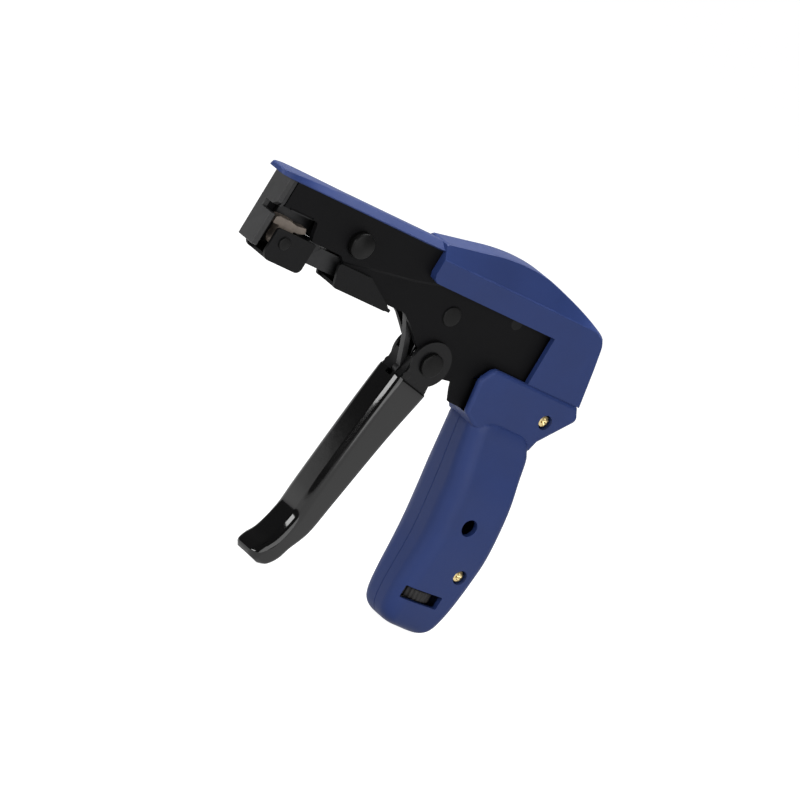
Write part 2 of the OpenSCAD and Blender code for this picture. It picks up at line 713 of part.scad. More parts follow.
// Stations down the coating: front and rear places as shares of the depth and of the length
// below its top, and the width's share
sleeve_shares = [[-0.648, 0, 0.352, 0.0353, 0.95],
                 [-0.679, 0.0287, 0.315, 0.0617, 1],
                 [-0.824, 0.2555, 0.042, 0.2864, 1],
                 [-1.018, 0.619, -0.297, 0.6344, 1],
                 [-1.085, 0.7621, -0.461, 0.7974, 1],
                 [-1.261, 0.8789, -0.703, 0.8921, 1],
                 [-1.43, 0.9295, -0.848, 0.9449, 1],
                 [-1.521, 0.9637, -1.042, 0.9879, 0.92],
                 [-1.467, 0.9857, -1.224, 1.0022, 0.73]];
core_stations = 6;

function sleeve_height(share) = -sleeve_top - share * (trigger_l - sleeve_top);
function sleeve_front(s) = trigger_at + [s[0] * trigger_depth, sleeve_height(s[1])];
function sleeve_rear(s) = trigger_at + [s[2] * trigger_depth, sleeve_height(s[3])];

// Front edge of the steel channel, from its top down, moved back by a distance
function channel_front(back) = concat(
    [trigger_at + [back - ear_r + coat_t / 4, -wall_top_drop],
     trigger_at + [back - ear_r + coat_t / 4, -ear_r * 0.7]],
    [for (i = [0:core_stations]) sleeve_front(sleeve_shares[i]) + [coat_t + back, 0]]);

// Rear edge of the steel channel, from its top down, moved forward by a distance
function channel_rear(forward) = concat(
    [trigger_at + [ear_r - forward, -ear_r * 0.2],
     trigger_at + [ear_r * 0.5 - forward, -ear_r * 0.85]],
    [for (i = [0:core_stations]) sleeve_rear(sleeve_shares[i]) - [coat_t + forward, 0]]);

module channel_side() {
    polygon(concat(channel_front(trigger_t / 2), reversed(channel_rear(0))));
    translate(trigger_at) circle(ear_r);
}

module channel_steel() {
    for (y = [-channel_y - trigger_t, channel_y]) slab(y, y + trigger_t) channel_side();
    slab(-channel_y - trigger_t / 2, channel_y + trigger_t / 2)
        polygon(concat(channel_front(0), reversed(channel_front(trigger_t))));
}

// Slot for the drive link in the front wall
module link_slot()
    box([link_pin_at.x - ear_r, link_y - link_t - slot_side_gap, link_pin_at.y - link_eye_r - slot_side_gap],
        [link_pin_at.x + link_eye_r, link_y + slot_side_gap, -trigger_drop + ear_r]);

module trigger_lever() color(black) difference() {
    channel_steel();
    pin(trigger_at, -frame_w, frame_w, trigger_pin_r + running_gap);
    pin(link_pin_at, -frame_w, frame_w, link_pin_r);
    link_slot();
}

// Ring of the coating at one station, from front left to front right
function sleeve_ring(s) =
    let (f = sleeve_front(s), r = sleeve_rear(s), half = s[4] * trigger_w / 2,
         edge = trigger_w * 0.22, back = trigger_w * 0.1)
    [for (p = outline([[f.x, half, edge], [f.x, -half, edge], [r.x, -half, back], [r.x, half, back]]))
        [p.x, p.y, f.y + (r.y - f.y) * (p.x - f.x) / (r.x - f.x)]];

module trigger_sleeve() color(gloss_black) difference() {
    skin([for (s = reversed(sleeve_shares)) sleeve_ring(s)]);
    channel_steel();
    link_slot();
    // Open rear of the channel
    slab(-channel_y + coat_t, channel_y - coat_t) polygon(concat(
        [for (i = [0:core_stations - 1])
            sleeve_front(sleeve_shares[i]) + [2 * coat_t + trigger_t, i == 0 ? ear_r : 0]],
        [for (i = [core_stations - 1:-1:0])
            sleeve_rear(sleeve_shares[i]) + [ear_r, i == 0 ? ear_r : 0]]));
}

module trigger_pivot() color(black) {
    pin(trigger_at, -trigger_w / 2 + coat_t - slide_gap, trigger_w / 2 - coat_t + slide_gap, trigger_pin_r);
    for (side = [-1, 1])
        head(trigger_at, side * (channel_y + trigger_t + slide_gap / 2), side, trigger_head_r, trigger_head_h);
}

module link_pin() color(steel)
    pin(link_pin_at, -channel_y - trigger_t, channel_y + trigger_t, link_pin_r);

return_turns = 1.5;
return_pitch = return_wire * 1.55;
return_coil_r = trigger_pin_r + return_wire;

module return_spring() color(steel)
    translate([trigger_x, half_gap - slide_gap / 2 - return_wire / 2, -trigger_drop]) rotate([90, 0, 0])
        rotate([0, 0, 180]) coil(return_coil_r, return_wire, return_pitch, return_turns,
                                 [return_coil_r * 2.2, return_coil_r * 2.2]);

// Tension linkage: rocker, rod, spring, nut, screw and thumbwheel

rear_r = 2.5;
front_fall = 2.6;
rear_fall = 3;

module tension_rocker() color(steel) difference() {
    front_at = rocker_at - [rocker_front, front_fall];
    rear_at = rocker_at + [rocker_rear, -rear_fall];
    boss_r = rocker_pin_r * 2;
    slab(-rocker_t / 2, rocker_t / 2) union() {
        translate(front_at) circle(nose_r);
        translate(rear_at) circle(rear_r);
        translate(rocker_at) circle(boss_r);
        polygon([front_at + [0, -nose_r],
                 rocker_at + [0, -boss_r],
                 rear_at + [0, -rear_r],
                 rear_at + [0, rear_r],
                 rocker_at + [boss_r * 0.5, boss_r * 0.8],
                 rocker_at + [-boss_r * 0.5, boss_r * 0.8],
                 front_at + [nose_r * 2.5, nose_r],
                 front_at + [0, nose_r]]);
    }
    pin(rocker_at, -half_frame, half_frame, rocker_pin_r + running_gap);
}

module rocker_pin() color(black) pin(rocker_at, -half_frame, half_frame, rocker_pin_r);

// Frame of the leaning rod and screw, whose height is measured up from the thumbwheel
module along_rod(height) {
    translate([wheel_x, 0, -wheel_drop]) rotate([0, -rod_lean, 0]) translate([0, 0, height]) children();
}

// Heights of the rod's top, its collar and its guide rib above the wheel, as shares of the
// wheel's depth
rod_top_share = 0.997;
collar_share = 0.4905;
guide_rib_share = 0.6206;
rod_top = rod_top_share * wheel_drop;
collar_h = collar_share * wheel_drop;
guide_rib_h = guide_rib_share * wheel_drop;
collar_t = 2;
rod_nose = 10.5;
nut_h = 19;
washer_t = 1.2;
screw_top = 30;
screw_foot = 7.6;
bore_gap = 0.08;
spring_r = spring_od / 2 - spring_wire / 2;
spring_low = nut_h + nut_t + washer_t;
spring_rise = collar_h - spring_low - spring_wire;
spring_gap = spring_rise / spring_turns - spring_wire;
echo(least_gap_in_tension_spring = spring_gap);
echo(least_gap_in_return_spring = return_pitch - return_wire);
echo(least_gap_in_pawl_spring = pawl_coil_pitch - pawl_wire);

module tension_rod() color(steel) {
    along_rod(collar_h - rod_nose) cylinder(r = rod_r, h = rod_top - collar_h + rod_nose);
    along_rod(collar_h) cylinder(r = spring_od / 2, h = collar_t);
}

module tension_spring() color(steel)
    along_rod(spring_low + spring_wire / 2)
        coil(spring_r, spring_wire, spring_rise / spring_turns, spring_turns, [spring_wire, spring_wire]);

module spring_washer() color(steel)
    along_rod(nut_h + nut_t) difference() {
        cylinder(r = spring_od / 2, h = washer_t);
        translate([0, 0, -over]) cylinder(r = screw_r + slide_gap, h = washer_t + 2 * over);
    }

module tension_nut() color(steel)
    along_rod(nut_h) difference() {
        translate([-nut_w / 2, -nut_w / 2, 0]) cube([nut_w, nut_w, nut_t]);
        translate([0, 0, -over]) cylinder(r = screw_r + running_gap, h = nut_t + 2 * over);
    }

module tension_screw() color(steel)
    along_rod(-screw_foot) cylinder(r = screw_r, h = screw_top + screw_foot);

rib_depth = 0.5;

module thumbwheel() color(black)
    along_rod(-wheel_t / 2) linear_extrude(wheel_t) difference() {
        polygon([for (i = [0:4 * wheel_ribs - 1])
            let (a = 360 * (i + 0.5) / (4 * wheel_ribs), r = i % 4 < 2 ? wheel_r : wheel_r - rib_depth)
            r * [cos(a), sin(a)]]);
        circle(screw_r);
    }

// Top cover: nose strip, rear housing and the tongue that its pins hold

strip_low = barrel_top;
strip_soft = 0.5;
strip_lap = 0.5;
// Stations along the strip: place share of its length, base's share of its width, and the
// shares of its thickness and of its width at the top
strip_shares = [[0, 0.6, 0.56, 0.45],
                [0.007, 0.78, 0.72, 0.6],
                [0.024, 0.93, 0.8, 0.74],
                [0.055, 1, 0.86, 0.8],
                [0.109, 1, 0.91, 0.75],
                [0.206, 1, 0.95, 0.58],
                [0.4, 1, 1, 0.3],
                [1, 1, 1, 0.3]];
strip_foot_share = 0.15;
// Stations along the housing: place share of its length, top share of the hump's height,
// lower edge's share of the side's height, and the flat top's share of the width
housing_shares = [[0, 0.79, 1.38, 0.59],
                  [0.009, 0.812, 1.12, 0.59],
                  [0.03, 0.825, 1, 0.59],
                  [0.15, 0.896, 1, 0.59],
                  [0.316, 0.985, 1, 0.59],
                  [0.415, 1, 1, 0.59],
                  [0.533, 0.97, 1, 0.59],
                  [0.7, 0.842, 1, 0.59],
                  [0.703, 0.841, 0, 0.59],
                  [0.727, 0.82, 0, 0.6],
                  [0.855, 0.684, 0, 0.66],
                  [0.912, 0.605, 0, 0.74],
                  [0.934, 0.504, 0, 0.84],
                  [0.962, 0.177, 0, 0.88],
                  [1, -0.39, 0, 0.88]];
housing_l = housing_end - housing_x;
half_housing = housing_w / 2;
tongue_half = half_gap - slide_gap / 2;
tongue_front = 15;
tongue_rear = 13;
tongue_low = 12;

function housing_at(s) = housing_x + s[0] * housing_l;
function roof_at(s) = s[1] * hump_top;

// Cross-section of the housing at one station
function housing_ring(s) =
    let (x = housing_at(s), top = roof_at(s),
         low = s[2] > 0 ? s[2] * housing_low : -seam_drop,
         crease = min(crease_top, top - cover_wall * 0.5),
         soft = cover_wall * 0.25,
         flat = s[3] * half_housing)
    [[x, -half_housing, low], [x, half_housing, low],
     [x, half_housing, crease - soft], [x, half_housing - soft, crease],
     [x, flat + soft, top - soft / 2], [x, flat - soft, top],
     [x, -flat + soft, top], [x, -flat - soft, top - soft / 2],
     [x, -half_housing + soft, crease], [x, -half_housing, crease - soft]];

// Cross-section of the nose strip at one station
function strip_ring(s) =
    let (x = -strip_over + s[0] * (housing_x + strip_lap + strip_over),
         half = s[1] * strip_w / 2, top = strip_low + s[2] * strip_t,
         flat = s[3] * strip_w / 2, foot = strip_low + s[2] * strip_t * strip_foot_share)
    [[x, -half, strip_low], [x, half, strip_low], [x, half, foot],
     [x, flat + strip_soft, top - strip_soft / 2], [x, flat - strip_soft, top],
     [x, -flat + strip_soft, top], [x, -flat - strip_soft, top - strip_soft / 2],
     [x, -half, foot]];

// Inner side of the housing's roof between two stations
function roof_inner(first, last) =
    [for (i = [first:last]) [housing_at(housing_shares[i]), roof_at(housing_shares[i]) - cover_wall]];

module top_cover() color(blue) difference() {
    union() {
        difference() {
            union() {
                skin([for (s = strip_shares) strip_ring(s)]);
                skin([for (s = housing_shares) housing_ring(s)]);
            }
            // Space for the side plates
            slab(-half_frame - slide_gap / 2, half_frame + slide_gap / 2) polygon([
                [housing_x - over, -seam_drop - over],
                [housing_end - 2 * cover_wall, -seam_drop - over],
                [housing_end - 2 * cover_wall, 0],
                [housing_at(housing_shares[12]) - cover_wall * 1.6, crease_top - 2 * cover_wall],
                [housing_at(housing_shares[10]) - cover_wall * 2, crease_top - cover_wall / 2],
                [housing_at(housing_shares[9]), barrel_top],
                [housing_x - over, barrel_top]]);
            // Side pockets
            slab(-half_housing + cover_wall, half_housing - cover_wall) polygon([
                [housing_x + cover_wall, -seam_drop - over],
                [housing_end - 2 * cover_wall, -seam_drop - over],
                [housing_end - 2.4 * cover_wall, 0],
                [housing_at(housing_shares[12]) - cover_wall * 2, crease_top - 3 * cover_wall],
                [housing_at(housing_shares[10]), crease_top - 2 * cover_wall],
                [housing_x + cover_wall, crease_top - cover_wall]]);
            // Hollow under the hump
            slab(-half_gap - slide_gap, half_gap + slide_gap) polygon(concat(
                reversed(roof_inner(3, 9)),
                [[housing_at(housing_shares[3]), barrel_top - over],
                 [housing_at(housing_shares[9]), barrel_top - over]]));
        }
        slab(-tongue_half, tongue_half) polygon(concat(
            [[rocker_x - tongue_front, tongue_low], [rocker_x + tongue_rear, tongue_low]],
            [[rocker_x + tongue_rear, barrel_top], [rocker_x + tongue_rear, hump_top * 0.9],
             [rocker_x - tongue_front, hump_top * 0.93]]));
    }
    for (at = cover_pin_at) pin(at, -half_housing + cover_wall, half_housing - cover_wall, cover_pin_r);
}

module cover_pins() color(steel)
    for (at = cover_pin_at) pin(at, -half_frame, half_frame, cover_pin_r);

// Handle shells

half_flange = flange_w / 2;
half_grip = grip_w / 2;
shell_edge = 1.4;
// Outline of the upper flange, as shares of its length behind the neck and of its height
flange_shares = [[-0.107, 0, 0.09], [-0.197, -0.257, 0.09], [-0.139, -0.845, 0.05], [0.02, -1, 0.02],
                 [0.7, -1, 0.02], [0.73, -0.8, 0.02], [1, -0.208, 0.06], [0.924, 0, 0.02]];
// Front corners of the right flange, which stops short of the left one
right_front_shares = [[-0.06, 0, 0.05], [-0.085, -0.3, 0.05], [-0.05, -0.845, 0.02]];
// Height of the flange above the grip's first station
grip_top = flange_h - shell_t * 0.9;
// Stations down the grip: height share of its length below the first, front and rear shares of
// its depth behind the neck, and thickness share
grip_shares = [[0, 0, 1.02, 0.766],
               [0.0275, 0.015, 1.01, 0.815],
               [0.0662, 0.06, 1.05, 0.839],
               [0.1638, 0.122, 1.126, 0.919],
               [0.2725, 0.187, 1.208, 0.992],
               [0.3937, 0.24, 1.267, 1],
               [0.5387, 0.297, 1.3, 0.992],
               [0.66, 0.331, 1.288, 0.935],
               [0.7975, 0.35, 1.262, 0.86],
               [0.8875, 0.375, 1.218, 0.81],
               [0.9375, 0.415, 1.165, 0.76],
               [0.965, 0.465, 1.1, 0.69],
               [0.9812, 0.53, 1.01, 0.58],
               [0.9912, 0.6, 0.93, 0.42]];
corner_count = 4;

// Half ring of the grip at one station, on the left side, drawn in all round
function grip_ring(s, inset, side_over) =
    let (f = grip_x + s[1] * grip_depth + inset,
         r = grip_x + s[2] * grip_depth - inset,
         half = s[3] * half_grip - inset,
         front_across = (r - f) * 0.24,
         front_deep = half * 0.58,
         rear_across = (r - f) * 0.13,
         rear_deep = half * 0.38,
         z = -seam_drop - grip_top - s[0] * (grip_l - grip_top))
    concat([[f, side_over, z]],
           [for (i = [0:corner_count]) let (a = 180 + 90 * i / corner_count)
               [f + front_across * (1 + cos(a)), -half + front_deep * (1 + sin(a)), z]],
           [for (i = [0:corner_count]) let (a = 270 + 90 * i / corner_count)
               [r - rear_across * (1 - cos(a)), -half + rear_deep * (1 + sin(a)), z]],
           [[r, side_over, z]]);

seam = -seam_drop;
neck_l = heel_x - grip_x;
front_wall_top = flange_h * 0.85;
recess_floor = 6.9;
grip_recess_floor = 8;
head_h = 1.7;
boss_r = 4.4;
upper_rib_r = 9.3;
lower_rib_r = 8.3;
rib_h = 2.4;
wheel_gap = 0.3;
guide_rib_half = 3.9;
guide_rib_t = 3;
// Place of the sight hole, as shares of the handle's depth and length
sight_shares = [0.732, 0.5509];
sight_at = [grip_x + sight_shares.x * grip_depth, -seam_drop - sight_shares.y * grip_l];

module shell_shape(front_shares) {
    flange = outline(placed(concat(front_shares, [for (i = [3:len(flange_shares) - 1]) flange_shares[i]]),
                            [grip_x, seam], [neck_l, flange_h]));
    cavity_y = half_flange - shell_t;
    difference() {
        union() {
            pillow(flange, 0, half_flange, shell_edge);
            skin([for (s = reversed(grip_shares)) grip_ring(s, 0, 0)]);
        }
        // Room for the frame between the flanges
        slab(-cavity_y, over) polygon([
            [grip_x - neck_l, seam + over],
            [grip_x - neck_l, seam - front_wall_top],
            [grip_x + shell_t, seam - front_wall_top],
            [grip_x + shell_t, seam - flange_h - shell_t],
            [grip_x + grip_shares[1][2] * grip_depth - shell_t, seam - flange_h - shell_t],
            [grip_x + flange_shares[5].x * neck_l - shell_t, seam + flange_shares[5].y * flange_h],
            [heel_x - shell_t * 1.5, seam + flange_shares[6].y * flange_h],
            [heel_x - shell_t * 2.6, seam + over]]);
        skin([for (i = [10:-1:1]) grip_ring(grip_shares[i], shell_t, over)]);
    }
    // Bosses for the two screws
    pin(ear_screw_at, -half_flange + shell_t / 2, -half_frame - slide_gap / 2, boss_r);
    pin(grip_screw_at, -half_grip * 0.9, 0, boss_r);
    // Bearings of the tension screw and guide of the rod
    intersection() {
        union() {
            along_rod(opening_h / 2 + rib_h) cylinder(r = upper_rib_r, h = rib_h);
            along_rod(-opening_h / 2 - rib_h * 2) cylinder(r = lower_rib_r, h = rib_h);
            along_rod(guide_rib_h) translate([-guide_rib_half, -half_grip * 0.72, 0])
                cube([2 * guide_rib_half, half_grip, guide_rib_t]);
        }
        box([grip_x, -half_grip, -grip_l - seam_drop], [heel_x, 0, 0]);
    }
}

module shell_cuts() {
    along_rod(0) {
        translate([-opening_l / 2, -half_grip - over, -opening_h / 2])
            cube([opening_l, grip_w + 2 * over, opening_h]);
        translate([0, 0, -opening_h / 2]) cylinder(r = wheel_r + wheel_gap, h = opening_h);
        translate([0, 0, -screw_foot - bore_gap]) cylinder(r = screw_r + bore_gap, h = screw_top);
    }
    along_rod(guide_rib_h - over) cylinder(r = rod_r + bore_gap, h = guide_rib_t + 2 * over);
}

module left_handle_shell() color(blue) difference() {
    shell_shape([for (i = [0:2]) flange_shares[i]]);
    shell_cuts();
    pin(ear_screw_at, -half_flange - over, -recess_floor, recess_r);
    pin(ear_screw_at, -half_flange - over, 0, handle_screw_r);
    pin(grip_screw_at, -half_grip - over, -grip_recess_floor, recess_r);
    pin(grip_screw_at, -half_grip - over, over, handle_screw_r);
    pin(sight_at, -half_grip - over, -half_grip / 2, sight_r);
}

module right_handle_shell() color(blue) difference() {
    mirror([0, 1, 0]) shell_shape(right_front_shares);
    mirror([0, 1, 0]) shell_cuts();
    pin(ear_screw_at, 0, recess_floor + head_h / 2, handle_screw_r);
    pin(grip_screw_at, -over, grip_recess_floor, handle_screw_r);
}

module handle_screw(at, floor_y, end) {
    pin(at, -floor_y, end, handle_screw_r);
    difference() {
        pin(at, -floor_y - head_h, -floor_y, handle_head_r);
        // Cross recess
        for (turn = [0, 90])
            translate([at.x, -floor_y - head_h, at.y]) rotate([0, turn, 0])
                cube([handle_head_r * 1.3, head_h, handle_head_r * 0.28], center = true);
    }
}

module handle_screws() color(yellow_zinc) {
    handle_screw(ear_screw_at, recess_floor, recess_floor + head_h / 2);
    handle_screw(grip_screw_at, grip_recess_floor, grip_recess_floor);
}

left_side_plate();
right_side_plate();
nose_plate();
nose_rivets();
frame_rivets();
lower_guide();
cutter_pivot();
cutter_lever();
cutter_blade();
gripper_carriage();
pull_bar();
gripper_pawl();
pawl_pin();
pawl_spring();
bar_pin();
drive_link();
link_pin();
trigger_lever();
trigger_sleeve();
trigger_pivot();
return_spring();
tension_rocker();
rocker_pin();
tension_rod();
tension_spring();
spring_washer();
tension_nut();
tension_screw();
thumbwheel();
top_cover();
cover_pins();
left_handle_shell();
right_handle_shell();
handle_screws();
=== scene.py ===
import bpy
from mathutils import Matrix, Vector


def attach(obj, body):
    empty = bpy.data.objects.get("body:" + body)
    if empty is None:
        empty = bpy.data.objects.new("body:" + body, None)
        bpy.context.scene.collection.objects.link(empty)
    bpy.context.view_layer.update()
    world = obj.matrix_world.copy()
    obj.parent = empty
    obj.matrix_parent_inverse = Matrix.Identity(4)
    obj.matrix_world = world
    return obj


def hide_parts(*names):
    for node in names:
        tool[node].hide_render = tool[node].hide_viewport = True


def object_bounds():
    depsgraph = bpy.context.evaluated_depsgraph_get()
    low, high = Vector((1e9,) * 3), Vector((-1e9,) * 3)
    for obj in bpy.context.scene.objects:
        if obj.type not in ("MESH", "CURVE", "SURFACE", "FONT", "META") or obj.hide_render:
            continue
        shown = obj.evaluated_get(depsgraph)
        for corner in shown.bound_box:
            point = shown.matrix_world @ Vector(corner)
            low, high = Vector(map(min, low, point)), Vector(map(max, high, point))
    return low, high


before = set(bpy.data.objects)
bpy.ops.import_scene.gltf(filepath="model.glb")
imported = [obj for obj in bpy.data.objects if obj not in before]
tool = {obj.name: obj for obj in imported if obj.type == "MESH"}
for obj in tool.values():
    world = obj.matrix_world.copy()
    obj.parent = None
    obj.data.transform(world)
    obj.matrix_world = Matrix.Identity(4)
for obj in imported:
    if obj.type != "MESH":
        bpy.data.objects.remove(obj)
cad_bounds = [list(corner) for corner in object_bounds()]

import math

import bmesh
import bpy
from mathutils import Matrix, Vector

mm = 0.001

# The studio has a camera far off on the tool's left, ahead of the nose and rolled so that the
# barrel climbs to the upper left, and white paper below and behind. Three soft panels light
# it: one overhead, one at the left side and a low wide one ahead of the nose.

view_centre = Vector((98.7, -5.1, -37.5)) * mm
view_right = Vector((0.6805, -0.5185, 0.5178))
view_up = Vector((-0.3119, 0.4345, 0.8450))
view_back = Vector((-0.6631, -0.7365, 0.1340))
view_distance = 3.0
view_width = 0.288

lens = bpy.data.cameras.new("camera")
lens.sensor_width = 36
lens.lens = lens.sensor_width * view_distance / view_width
lens.clip_end = 20
camera = bpy.data.objects.new("camera", lens)
bpy.context.scene.collection.objects.link(camera)
camera.matrix_world = (Matrix.Translation(view_centre + view_back * view_distance)
                       @ Matrix((view_right, view_up, view_back)).transposed().to_4x4())
bpy.context.scene.camera = camera
bpy.context.scene.view_settings.view_transform = "Standard"


def add_panel(name, place, aim, width, height, watts):
    lamp = bpy.data.lights.new(name, "AREA")
    lamp.shape = "RECTANGLE"
    lamp.size = width
    lamp.size_y = height
    lamp.energy = watts
    holder = bpy.data.objects.new(name, lamp)
    bpy.context.scene.collection.objects.link(holder)
    holder.location = place
    holder.rotation_euler = (Vector(aim) - Vector(place)).to_track_quat("-Z", "Y").to_euler()


add_panel("overhead_panel", place=(0.12, 0.25, 0.95), aim=(0.10, 0, -0.03),
          width=0.9, height=0.7, watts=17.0)
add_panel("side_panel", place=(0.05, -1.1, 0.25), aim=(0.10, 0, -0.03),
          width=0.9, height=0.9, watts=8.0)
add_panel("front_panel", place=(-1.2, -0.14, 0.16), aim=(0.08, 0, -0.06),
          width=1.2, height=0.22, watts=10.0)

room_light = 0.12
sky = bpy.data.worlds.new("dim_room")
bpy.context.scene.world = sky
sky.use_nodes = True
sky.node_tree.nodes["Background"].inputs["Color"].default_value = (1, 1, 1, 1)
sky.node_tree.nodes["Background"].inputs["Strength"].default_value = room_light


def show_white_to_camera(nodes, links, low, full):
    """Strength that is full for camera, glossy and transmission rays, and low for the rest."""
    path = nodes.new("ShaderNodeLightPath")
    seen = nodes.new("ShaderNodeMath")
    seen.operation = "MAXIMUM"
    links.new(path.outputs["Is Camera Ray"], seen.inputs[0])
    links.new(path.outputs["Is Glossy Ray"], seen.inputs[1])
    through = nodes.new("ShaderNodeMath")
    through.operation = "MAXIMUM"
    links.new(seen.outputs[0], through.inputs[0])
    links.new(path.outputs["Is Transmission Ray"], through.inputs[1])
    span = nodes.new("ShaderNodeMapRange")
    links.new(through.outputs[0], span.inputs["Value"])
    span.inputs["To Min"].default_value = low
    span.inputs["To Max"].default_value = full
    return span.outputs["Result"]


paper_base = 0.25
paper_white = 0.97
paper = bpy.data.materials.new("white_paper")
paper.use_nodes = True
paper_nodes, paper_links = paper.node_tree.nodes, paper.node_tree.links
paper_shader = paper_nodes["Principled BSDF"]
paper_shader.inputs["Base Color"].default_value = (paper_base, paper_base, paper_base, 1)
paper_shader.inputs["Roughness"].default_value = 0.95
paper_shader.inputs["Specular IOR Level"].default_value = 0.1
paper_shader.inputs["Emission Color"].default_value = (1, 1, 1, 1)
paper_links.new(show_white_to_camera(paper_nodes, paper_links, 0.0, paper_white),
                paper_shader.inputs["Emission Strength"])


def hang_paper(name, corners):
    mesh = bpy.data.meshes.new(name)
    mesh.from_pydata([tuple(corner) for corner in corners], [], [(0, 1, 2, 3)])
    mesh.materials.append(paper)
    sheet = bpy.data.objects.new(name, mesh)
    bpy.context.scene.collection.objects.link(sheet)


floor_z = cad_bounds[0][2] - 0.2 * mm
floor_half = 30
hang_paper("floor", [(x * floor_half, y * floor_half, floor_z)
                     for x, y in ((-1, -1), (1, -1), (1, 1), (-1, 1))])

backdrop_place = Vector((2.8, 3.0, 0))
backdrop_half = 3.2
backdrop_top = 2.2
along = Vector((-backdrop_place.y, backdrop_place.x, 0)).normalized() * backdrop_half
hang_paper("backdrop", [backdrop_place + side * along + Vector((0, 0, height))
                        for side, height in ((-1, floor_z), (1, floor_z),
                                             (1, backdrop_top), (-1, backdrop_top))])

# The two side plates are blanked from sheet steel and blackened. Their edges are eased by
# tumbling, and a shallow set in the sheet runs from the lower guide back to the housing.

set_front = (50.0, 0.6)
set_knee = (75.2, 4.2)
set_rear = (83.5, 6.0)
set_depth = 0.35
set_half_width = 0.5
plate_black = (0.0045, 0.0045, 0.005)
plate_edge = 0.35
weld_gap = 0.002


def soft_edges(part, width, segments=2, angle=32):
    """Rounds a part's sharp edges with modifiers, without touching its own mesh."""
    weld = part.modifiers.new("joined", "WELD")
    weld.merge_threshold = weld_gap * mm
    bevel = part.modifiers.new("eased", "BEVEL")
    bevel.width = width * mm
    bevel.segments = segments
    bevel.limit_method = "ANGLE"
    bevel.angle_limit = math.radians(angle)
    bevel.harden_normals = False
    smooth = part.modifiers.new("shaded", "WEIGHTED_NORMAL")
    smooth.keep_sharp = True
    for face in part.data.polygons:
        face.use_smooth = True


def surface(name, colour, roughness, metal=0.0, specular=0.5, grain=1.2, grain_height=0.01,
            mottle=0.12, mottle_size=9.0, rough_spread=0.06):
    """A finish whose colour and gloss wander a little and whose face has a fine grain.
    Grain, its height and the mottling's size are in millimetres."""
    finish = bpy.data.materials.new(name)
    finish.use_nodes = True
    nodes, links = finish.node_tree.nodes, finish.node_tree.links
    shader = nodes["Principled BSDF"]
    shader.inputs["Metallic"].default_value = metal
    shader.inputs["Specular IOR Level"].default_value = specular
    place = nodes.new("ShaderNodeTexCoord")
    thin, thick = 0.3, 0.7  # most of the noise lies between these

    patches = nodes.new("ShaderNodeTexNoise")
    patches.inputs["Scale"].default_value = 1 / (mottle_size * mm)
    patches.inputs["Detail"].default_value = 4
    links.new(place.outputs["Object"], patches.inputs["Vector"])
    shades = nodes.new("ShaderNodeValToRGB")
    shades.color_ramp.elements[0].position = thin
    shades.color_ramp.elements[0].color = [c * (1 - mottle) for c in colour] + [1]
    shades.color_ramp.elements[1].position = thick
    shades.color_ramp.elements[1].color = [c * (1 + mottle) for c in colour] + [1]
    links.new(patches.outputs["Fac"], shades.inputs["Fac"])
    links.new(shades.outputs["Color"], shader.inputs["Base Color"])

    gloss = nodes.new("ShaderNodeMapRange")
    gloss.inputs["From Min"].default_value = thin
    gloss.inputs["From Max"].default_value = thick
    gloss.inputs["To Min"].default_value = roughness - rough_spread
    gloss.inputs["To Max"].default_value = roughness + rough_spread
    links.new(patches.outputs["Fac"], gloss.inputs["Value"])
    links.new(gloss.outputs["Result"], shader.inputs["Roughness"])

    pores = nodes.new("ShaderNodeTexNoise")
    pores.inputs["Scale"].default_value = 1 / (grain * mm)
    pores.inputs["Detail"].default_value = 3
    links.new(place.outputs["Object"], pores.inputs["Vector"])
    relief = nodes.new("ShaderNodeBump")
    relief.inputs["Distance"].default_value = grain_height * mm
    relief.inputs["Strength"].default_value = 1
    links.new(pores.outputs["Fac"], relief.inputs["Height"])
    links.new(relief.outputs["Normal"], shader.inputs["Normal"])
    return finish


def finish_part(node, finish):
    part = tool[node]
    if not part.material_slots:
        part.data.materials.append(finish)
    for slot in part.material_slots:
        slot.material = finish


def add_math(nodes, links, operation, first, second):
    step = nodes.new("ShaderNodeMath")
    step.operation = operation
    for socket, value in zip(step.inputs, (first, second)):
        if isinstance(value, (int, float)):
            socket.default_value = value
        else:
            links.new(value, socket)
    return step.outputs[0]


def press_set(finish, corners):
    """Adds the small step in the sheet along a line that bends at the middle corner."""
    nodes, links = finish.node_tree.nodes, finish.node_tree.links
    where = nodes.new("ShaderNodeSeparateXYZ")
    links.new(nodes["Texture Coordinate"].outputs["Object"], where.inputs["Vector"])
    heights = []
    for (x0, z0), (x1, z1) in zip(corners, corners[1:]):
        slope = (z1 - z0) / (x1 - x0)
        run = add_math(nodes, links, "MULTIPLY", where.outputs["X"], slope)
        heights.append(add_math(nodes, links, "ADD", run, (z0 - slope * x0) * mm))
    line = add_math(nodes, links, "MAXIMUM", *heights)
    above = add_math(nodes, links, "SUBTRACT", where.outputs["Z"], line)
    step_up = nodes.new("ShaderNodeMapRange")
    step_up.interpolation_type = "SMOOTHSTEP"
    step_up.inputs["From Min"].default_value = -set_half_width * mm
    step_up.inputs["From Max"].default_value = set_half_width * mm
    links.new(above, step_up.inputs["Value"])
    step = nodes.new("ShaderNodeBump")
    step.inputs["Distance"].default_value = set_depth * mm
    links.new(step_up.outputs["Result"], step.inputs["Height"])
    links.new(nodes["Bump"].outputs["Normal"], step.inputs["Normal"])
    links.new(step.outputs["Normal"], nodes["Principled BSDF"].inputs["Normal"])


blackened_sheet = surface("blackened_sheet", plate_black, roughness=0.5, specular=0.07, grain=0.9,
                          grain_height=0.012, mottle=0.18, mottle_size=14)
press_set(blackened_sheet, [set_front, set_knee, set_rear])
for plate in ("left_side_plate", "right_side_plate"):
    finish_part(plate, blackened_sheet)
    soft_edges(tool[plate], plate_edge)

